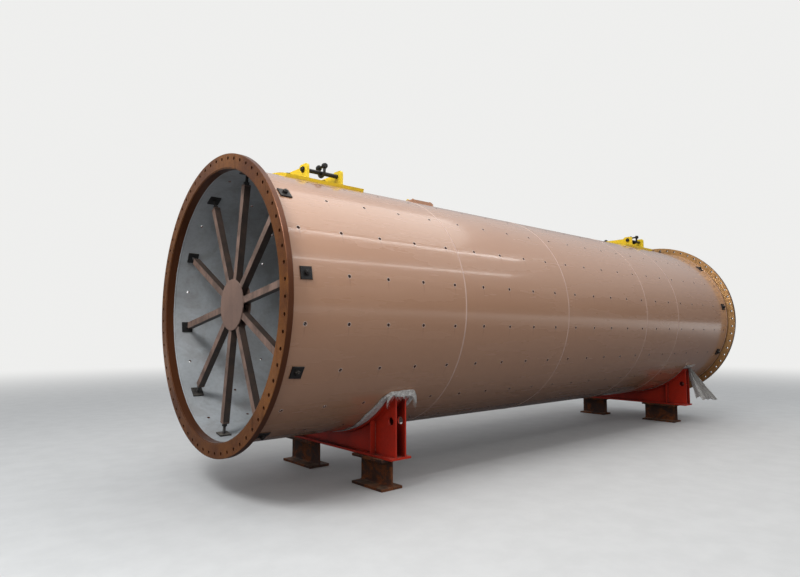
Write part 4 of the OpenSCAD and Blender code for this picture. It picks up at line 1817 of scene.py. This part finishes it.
@dataclass
class LiftingBracket(EndAssembly):
    """One yellow lifting bracket with its bolts, pins and shackles."""

    x: float = -4.097
    rings: tuple[float, float] = (-4.5, -4.0)
    row_deg: float = 9.0
    base_t: float = 0.0403
    lug_x: float = 0.240
    lug_t: float = 0.030
    lug_half: float = 0.430
    pin_y: float = 0.345
    pin_h: float = 0.092
    pin_r: float = 0.025
    pin_end: float = 0.032
    pin_cut: float = 0.004
    pin_washer: tuple[float, float] = (0.037, 0.004)
    split_pin_r: float = 0.0032
    bolt_r: float = 0.0148
    bolt_washer: tuple[float, float] = (0.033, 0.004)
    bolt_head: tuple[float, float] = (0.050, 0.019)
    bolt_nut: tuple[float, float] = (0.050, 0.024)
    bolt_inside: float = 0.040
    bolt_past_nut: float = 0.010
    head_spin: float = 12.0
    nut_spin: float = 31.0
    bow_r: float = 0.017
    bow_gap: float = 0.086
    bow_h: float = 0.120

    def build(self) -> None:
        """Dresses the bracket and builds its small parts."""
        self.dress("yellow", "lifting_yellow", f"{self.label}_bracket_base",
                   f"{self.label}_lug_plates")
        self.build_welds()
        self.build_bolts()
        self.build_pins()
        self.build_shackles()

    def build_welds(self) -> None:
        """Welds the lug plates to the base."""
        pile = MeshPile()
        radius = self.mill.shell_r + self.base_t
        reach = math.degrees(math.asin(self.lug_half / radius)) - 0.3
        lift, weld_r, steps = 0.002, 0.008, 60
        for lug in (-1, 1):
            for face in (-1, 1):
                x = self.x + lug * self.lug_x + face * (self.lug_t / 2 + lift)
                line = [self.mill.radial(-reach + 2 * reach * k / steps, radius + lift, x)
                        for k in range(steps + 1)]
                pile.weld(line, weld_r, 5 + 3 * lug + face)
        self.finish_piece(pile, f"{self.label}_bracket_welds", "yellow", "lifting_yellow")

    def build_bolts(self) -> None:
        """Builds the bracket's bolts with heads, washers and nuts inside the shell."""
        pile = MeshPile()
        top = self.mill.shell_r + self.base_t
        inner = self.mill.bore_r - self.bolt_inside
        head_foot, nut_foot = top + self.bolt_washer[1], inner + self.bolt_past_nut
        for ring in self.rings:
            for side in (-1, 1):
                angle = side * self.row_deg
                pile.lathe([(self.bolt_r, inner), (self.bolt_r, top)],
                           self.mill.outward(angle, ring, 0.0), 24)
                pile.washer(self.bolt_r + 0.0002, *self.bolt_washer,
                            self.mill.outward(angle, ring, top))
                pile.nut(*self.bolt_head, 0.0,
                         self.mill.outward(angle, ring, head_foot, self.head_spin))
                pile.nut(*self.bolt_nut, self.bolt_r,
                         self.mill.outward(angle, ring, nut_foot, self.nut_spin))
        self.finish_piece(pile, f"{self.label}_bracket_bolt_sets", "black", "black_steel",
                          f"{self.label}_bracket_bolts")

    def pin_place(self, side: int) -> Vector:
        """The middle of a lifting pin."""
        height = self.mill.axis_z + self.mill.shell_r + self.pin_h
        return Vector((self.x, side * self.pin_y, height))

    def build_pins(self) -> None:
        """Builds the lifting pins with chamfered ends and split pins."""
        pile = MeshPile()
        half, cut = self.lug_x + self.lug_t / 2 + self.pin_end, self.pin_cut
        washer_r, washer_t = self.pin_washer
        along = Matrix.Rotation(math.pi / 2, 4, "Y")
        for side in (-1, 1):
            middle = self.pin_place(side)
            place = Matrix.Translation(middle) @ along
            pile.lathe([(self.pin_r - cut, -half), (self.pin_r, -half + cut),
                        (self.pin_r, half - cut), (self.pin_r - cut, half)], place, 40)
            for tip in (-1, 1):
                spot = middle + Vector((tip * (half - 0.012), 0, 0))
                lean = Vector((0, 0.35 * side, 1)).normalized() * 0.036
                pile.tube([spot - lean, spot + lean], [self.split_pin_r] * 2, sides=8)
                foot = middle + Vector((tip * (half - 0.022) - washer_t / 2, 0, 0))
                pile.washer(self.pin_r, washer_r, washer_t, Matrix.Translation(foot) @ along, 32)
        self.finish_piece(pile, f"{self.label}_turned_lifting_pins", "black", "black_steel",
                          f"{self.label}_lifting_pins")

    def build_shackles(self) -> None:
        """Builds the bow shackles that hang on the pins."""
        pile = MeshPile()
        leg = self.bow_gap / 2 + self.bow_r
        for side in (-1, 1):
            low = self.pin_place(side) - Vector((0, 0, self.pin_r + self.bow_r + 0.0003))
            line, radii = [], []
            bow_steps, leg_steps = 32, 6
            for step in range(bow_steps + 1):
                turn = math.pi * step / bow_steps
                line.append(low + Vector((0, -leg * math.cos(turn), leg - leg * math.sin(turn))))
                radii.append(self.bow_r * (1.0 + 0.04 * math.sin(turn)))
            for end in (-1, 1):
                shares = [step / leg_steps for step in range(1, leg_steps + 1)]
                straight = [low + Vector((0, end * leg, leg + (self.bow_h - leg) * share))
                            for share in shares]
                grow = [self.bow_r * (1 + 0.15 * share) for share in shares]
                line = line + straight if end == 1 else straight[::-1] + line
                radii = radii + grow if end == 1 else grow[::-1] + radii
            pile.tube(line, radii, sides=20)
            self.shackle_bolt(pile, low + Vector((0, 0, self.bow_h)), leg)
        self.finish_piece(pile, f"{self.label}_bow_shackles", "black", "black_steel",
                          f"{self.label}_shackles")

    def shackle_bolt(self, pile: MeshPile, middle: Vector, leg: float) -> None:
        """Builds a shackle's eyes and its bolt with head and nut.

        Args:
            pile: Where they go.
            middle: Middle of the bolt.
            leg: Distance of a leg from the middle.
        """
        across = Matrix.Rotation(math.pi / 2, 4, "X")
        eye_r, eye_t = 2.15 * self.bow_r, 2.0 * self.bow_r
        for end in (-1, 1):
            place = Matrix.Translation(middle + Vector((0, end * leg, 0))) @ across
            half = eye_t / 2
            pile.lathe([(0.72 * eye_r, -half), (0.92 * eye_r, -0.8 * half), (eye_r, -0.35 * half),
                        (eye_r, 0.35 * half), (0.92 * eye_r, 0.8 * half), (0.72 * eye_r, half)],
                       place, 36)
        half = leg + 2 * self.bow_r
        place = Matrix.Translation(middle) @ across
        pile.lathe([(self.bow_r * 0.88, -half), (self.bow_r * 0.95, 0.003 - half),
                    (self.bow_r * 0.95, half - 0.003), (self.bow_r * 0.88, half)], place, 28)
        head = Matrix.Translation(middle + Vector((0, -leg - self.bow_r - 0.0005, 0))) @ across
        pile.nut(3.2 * self.bow_r, 0.9 * self.bow_r, 0.0, head)
        nut = Matrix.Translation(middle + Vector((0, leg + 1.9 * self.bow_r, 0))) @ across
        pile.nut(3.1 * self.bow_r, 0.85 * self.bow_r, 0.0, nut)


@dataclass
class Manhole(Assembly):
    """The manhole with its cover, bolts and lifting eye."""

    x: float = -2.300
    length: float = 0.400
    width: float = 0.430
    frame_h: float = 0.040
    cover_t: float = 0.018
    bolt_inset: float = 0.034
    bolt_r: float = 0.004
    washer: tuple[float, float] = (0.016, 0.002)
    head: tuple[float, float] = (0.024, 0.010)
    weld_r: float = 0.007
    weld_out: float = 0.002
    eye_r: float = 0.018
    eye_wire_r: float = 0.0066

    def build(self) -> None:
        """Dresses the frame and the cover and builds what is bolted on them."""
        self.dress("shell", "shell_paint", "manhole_frame", "manhole_cover")
        top = self.mill.axis_z + self.mill.shell_r + self.frame_h + self.cover_t
        bolts, welds, eye = MeshPile(), MeshPile(), MeshPile()
        for sx in (-1, 1):
            for sy in (-1, 0, 1):
                spot = Vector((self.x + sx * (self.length / 2 - self.bolt_inset),
                               sy * (self.width / 2 - self.bolt_inset), top))
                above = spot + Vector((0, 0, self.washer[1]))
                bolts.washer(self.bolt_r, *self.washer, Matrix.Translation(spot), 24)
                bolts.nut(*self.head, 0.0, Matrix.Translation(above))
        welds.weld(self.weld_line(steps=24), self.weld_r, 77)
        middle = Vector((self.x - self.length / 4, 0, top + self.eye_r + 0.004))
        turns = [2 * math.pi * step / 40 for step in range(40)]
        ring = [middle + Vector((math.cos(turn), 0, math.sin(turn))) * (self.eye_r + 0.005)
                for turn in turns]
        eye.tube(ring, [self.eye_wire_r] * len(ring), sides=16, closed=True)
        self.finish_piece(bolts, "manhole_cover_bolts", "shell", "shell_paint")
        self.finish_piece(welds, "manhole_frame_weld", "seam", "shell_paint")
        self.finish_piece(eye, "manhole_lifting_eye", "yellow", "lifting_yellow")

    def weld_line(self, steps: int) -> list[Vector]:
        """The line round the frame's foot, where it meets the shell.

        Args:
            steps: Points on each side of the frame.

        Returns:
            The points, back to the first one.
        """
        half_x, half_y = self.length / 2 + self.weld_out, self.width / 2 + self.weld_out
        corners = [(-1, -1), (1, -1), (1, 1), (-1, 1), (-1, -1)]
        line: list[Vector] = []
        for (ax, ay), (bx, by) in zip(corners, corners[1:]):
            for share in (step / steps for step in range(steps)):
                y = (ay + (by - ay) * share) * half_y
                z = self.mill.axis_z + math.sqrt(self.mill.shell_r ** 2 - y ** 2)
                line.append(Vector((self.x + (ax + (bx - ax) * share) * half_x, y,
                                    z + self.weld_out)))
        return line + [line[0].copy()]


@dataclass(frozen=True)
class Lamp:
    """One area lamp that points at the mill."""

    name: str
    place: Point
    target: Point
    size: tuple[float, float]
    power: float
    tint: Colour = (1.0, 1.0, 1.0)


@dataclass
class Studio:
    """Floor, background, lamps and camera.

    The camera stands where the photograph was taken, as a camera fit on the liner holes gave it.
    """

    lamps: tuple[Lamp, ...] = (
        Lamp("top_lamp", (0.0, -1.0, 11.0), (0.0, 0.0, 2.0), (12.0, 7.0), 320.0,
             (1.0, 0.985, 0.96)),
        Lamp("near_strip", (0.0, -4.6, 9.0), (0.0, 0.0, 2.6), (15.0, 0.22), 95.0),
        Lamp("side_strip", (1.0, -8.5, 8.0), (0.0, 0.0, 2.6), (15.0, 0.22), 85.0),
        Lamp("side_lamp", (-9.5, -10.5, 4.0), (-3.5, 0.0, 1.5), (7.0, 4.0), 160.0),
        Lamp("front_lamp", (-10.0, -2.6, 7.6), (-4.9, 0.3, 0.8), (3.0, 2.5), 430.0,
             (0.96, 0.98, 1.0)),
    )
    background: Colour = (0.86, 0.86, 0.85)
    sky: Colour = (0.93, 0.96, 1.0)
    world_light: float = 0.62
    world_low: float = 0.05
    floor_r: float = 70.0
    floor_tones: tuple[Colour, Colour] = ((0.62, 0.62, 0.61), (0.66, 0.66, 0.65))
    floor_bounce: Colour = (0.13, 0.13, 0.14)
    floor_fade: tuple[float, float] = (9.0, 30.0)
    camera_at: Point = (-7.7681, -6.0534, 1.7283)
    right: Point = (0.75769, -0.65261, -0.00148)
    down: Point = (0.05292, 0.06370, -0.99656)
    lens: float = 25.558

    def build(self) -> None:
        """Builds the studio."""
        self.build_world()
        self.build_floor()
        for lamp in self.lamps:
            self.build_lamp(lamp)
        self.build_camera()

    def build_world(self) -> None:
        """Makes a pale background that lights the mill softly."""
        world = bpy.data.worlds.new("studio")
        bpy.context.scene.world = world
        world.use_nodes = True
        graph = Graph(world.node_tree)
        world.node_tree.nodes.clear()
        height = graph.parts(graph.new("ShaderNodeTexCoord").outputs["Generated"])[2]
        rise = graph.new("ShaderNodeMapRange", {
            "Value": height, "From Min": -0.05, "From Max": 0.55, "To Min": self.world_low,
            "To Max": self.world_light}, interpolation_type="SMOOTHSTEP")
        soft = graph.new("ShaderNodeBackground", {"Color": self.sky,
                                                  "Strength": rise.outputs["Result"]})
        shown = graph.new("ShaderNodeBackground", {"Color": self.background, "Strength": 1.0})
        seen = graph.new("ShaderNodeLightPath").outputs["Is Camera Ray"]
        mix = graph.new("ShaderNodeMixShader", {0: seen, 1: soft.outputs[0], 2: shown.outputs[0]})
        graph.new("ShaderNodeOutputWorld", {"Surface": mix.outputs[0]})

    def build_floor(self) -> None:
        """Lays a pale floor that fades into the background."""
        work = bmesh.new()
        bmesh.ops.create_circle(work, cap_ends=True, segments=96, radius=self.floor_r)
        mesh = bpy.data.meshes.new("studio_floor")
        work.to_mesh(mesh)
        work.free()
        floor = bpy.data.objects.new("studio_floor", mesh)
        bpy.context.scene.collection.objects.link(floor)
        material = bpy.data.materials.new("studio_floor")
        material.use_nodes = True
        graph = Graph(material.node_tree)
        shader = material.node_tree.nodes["Principled BSDF"]
        speck = graph.noise(graph.place(), scale=3.0, detail=6.0, roughness=0.6)
        tone = graph.mix(graph.band(speck, 0.3, 0.7), *self.floor_tones)
        seen = graph.new("ShaderNodeLightPath").outputs["Is Camera Ray"]
        graph.feed(shader.inputs["Base Color"], graph.mix(seen, self.floor_bounce, tone))
        shader.inputs["Roughness"].default_value = 0.75
        x, y, _ = graph.parts(graph.place())
        far = graph.band(graph.distance(x, y), *self.floor_fade)
        glow = graph.new("ShaderNodeEmission", {"Color": self.background, "Strength": 1.0})
        fade = graph.new("ShaderNodeMixShader", {0: far, 1: shader.outputs[0],
                                                 2: glow.outputs[0]})
        output = material.node_tree.nodes["Material Output"]
        graph.feed(output.inputs["Surface"], fade.outputs[0])
        mesh.materials.append(material)

    def build_lamp(self, lamp: Lamp) -> None:
        """Hangs one lamp.

        Args:
            lamp: What it is.
        """
        data = bpy.data.lights.new(lamp.name, "AREA")
        data.shape = "RECTANGLE"
        data.size, data.size_y = lamp.size
        data.energy = lamp.power
        data.color = lamp.tint
        light = bpy.data.objects.new(lamp.name, data)
        light.location = lamp.place
        aim = Vector(lamp.target) - Vector(lamp.place)
        light.rotation_euler = aim.to_track_quat("-Z", "Y").to_euler()
        bpy.context.scene.collection.objects.link(light)

    def build_camera(self) -> None:
        """Sets the camera where the photograph was taken."""
        data = bpy.data.cameras.new("photo_camera")
        data.lens = self.lens
        data.sensor_width = 36.0
        camera = bpy.data.objects.new("photo_camera", data)
        right = Vector(self.right).normalized()
        up = -Vector(self.down).normalized()
        back = right.cross(up)
        matrix = Matrix((right, up, back)).transposed().to_4x4()
        matrix.translation = Vector(self.camera_at)
        camera.matrix_world = matrix
        bpy.context.scene.collection.objects.link(camera)
        scene = bpy.context.scene
        scene.camera = camera
        scene.view_settings.view_transform = "Standard"


# The near packing's edge: its share of the half width at angles from the bottom, in degrees.
NEAR_EDGE = ((0, 0.85), (19, 0.89), (28, 1.14), (36, 1.22), (41, 1.1), (45, 1.04), (49, 0.98),
             (53, 0.86))


def end_assemblies(shared: dict) -> list[Assembly]:
    """Lists what stands at each end of the mill, from the near end to the far end.

    Args:
        shared: The frame, the mill's sizes and the paints.

    Returns:
        The sub-assemblies in the order in which they are built.
    """
    return [
        EndFlange(**shared, end=End.NEAR),
        Spider(**shared, end=End.NEAR),
        Saddle(**shared, end=End.NEAR),
        Packing(**shared, end=End.NEAR, profile=NEAR_EDGE, curls=True),
        LiftingBracket(**shared, end=End.NEAR, x=-4.097, rings=(-4.5, -4.0)),
        EndFlange(**shared, end=End.FAR),
        Spider(**shared, end=End.FAR),
        Saddle(**shared, end=End.FAR),
        Packing(**shared, end=End.FAR, tail_deg=0.2),
        LiftingBracket(**shared, end=End.FAR, x=3.597, rings=(3.5, 4.0)),
    ]


def main() -> None:
    """Builds the whole scene in order."""
    logging.basicConfig(level=logging.INFO, format="%(name)s: %(message)s")
    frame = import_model()
    mill = MillFrame.measure()
    paints = Palette().build(Effects(mill))
    shared = {"frame": frame, "mill": mill, "paints": paints}
    assemblies: list[Assembly] = [
        Shell(**shared),
        Manhole(**shared),
        HangingCloth(**shared),
        *end_assemblies(shared),
    ]
    for assembly in assemblies:
        assembly.build()
        LOG.info("built %s", type(assembly).__name__)
    Studio().build()
    bpy.context.view_layer.update()


if __name__ == "__main__":
    main()
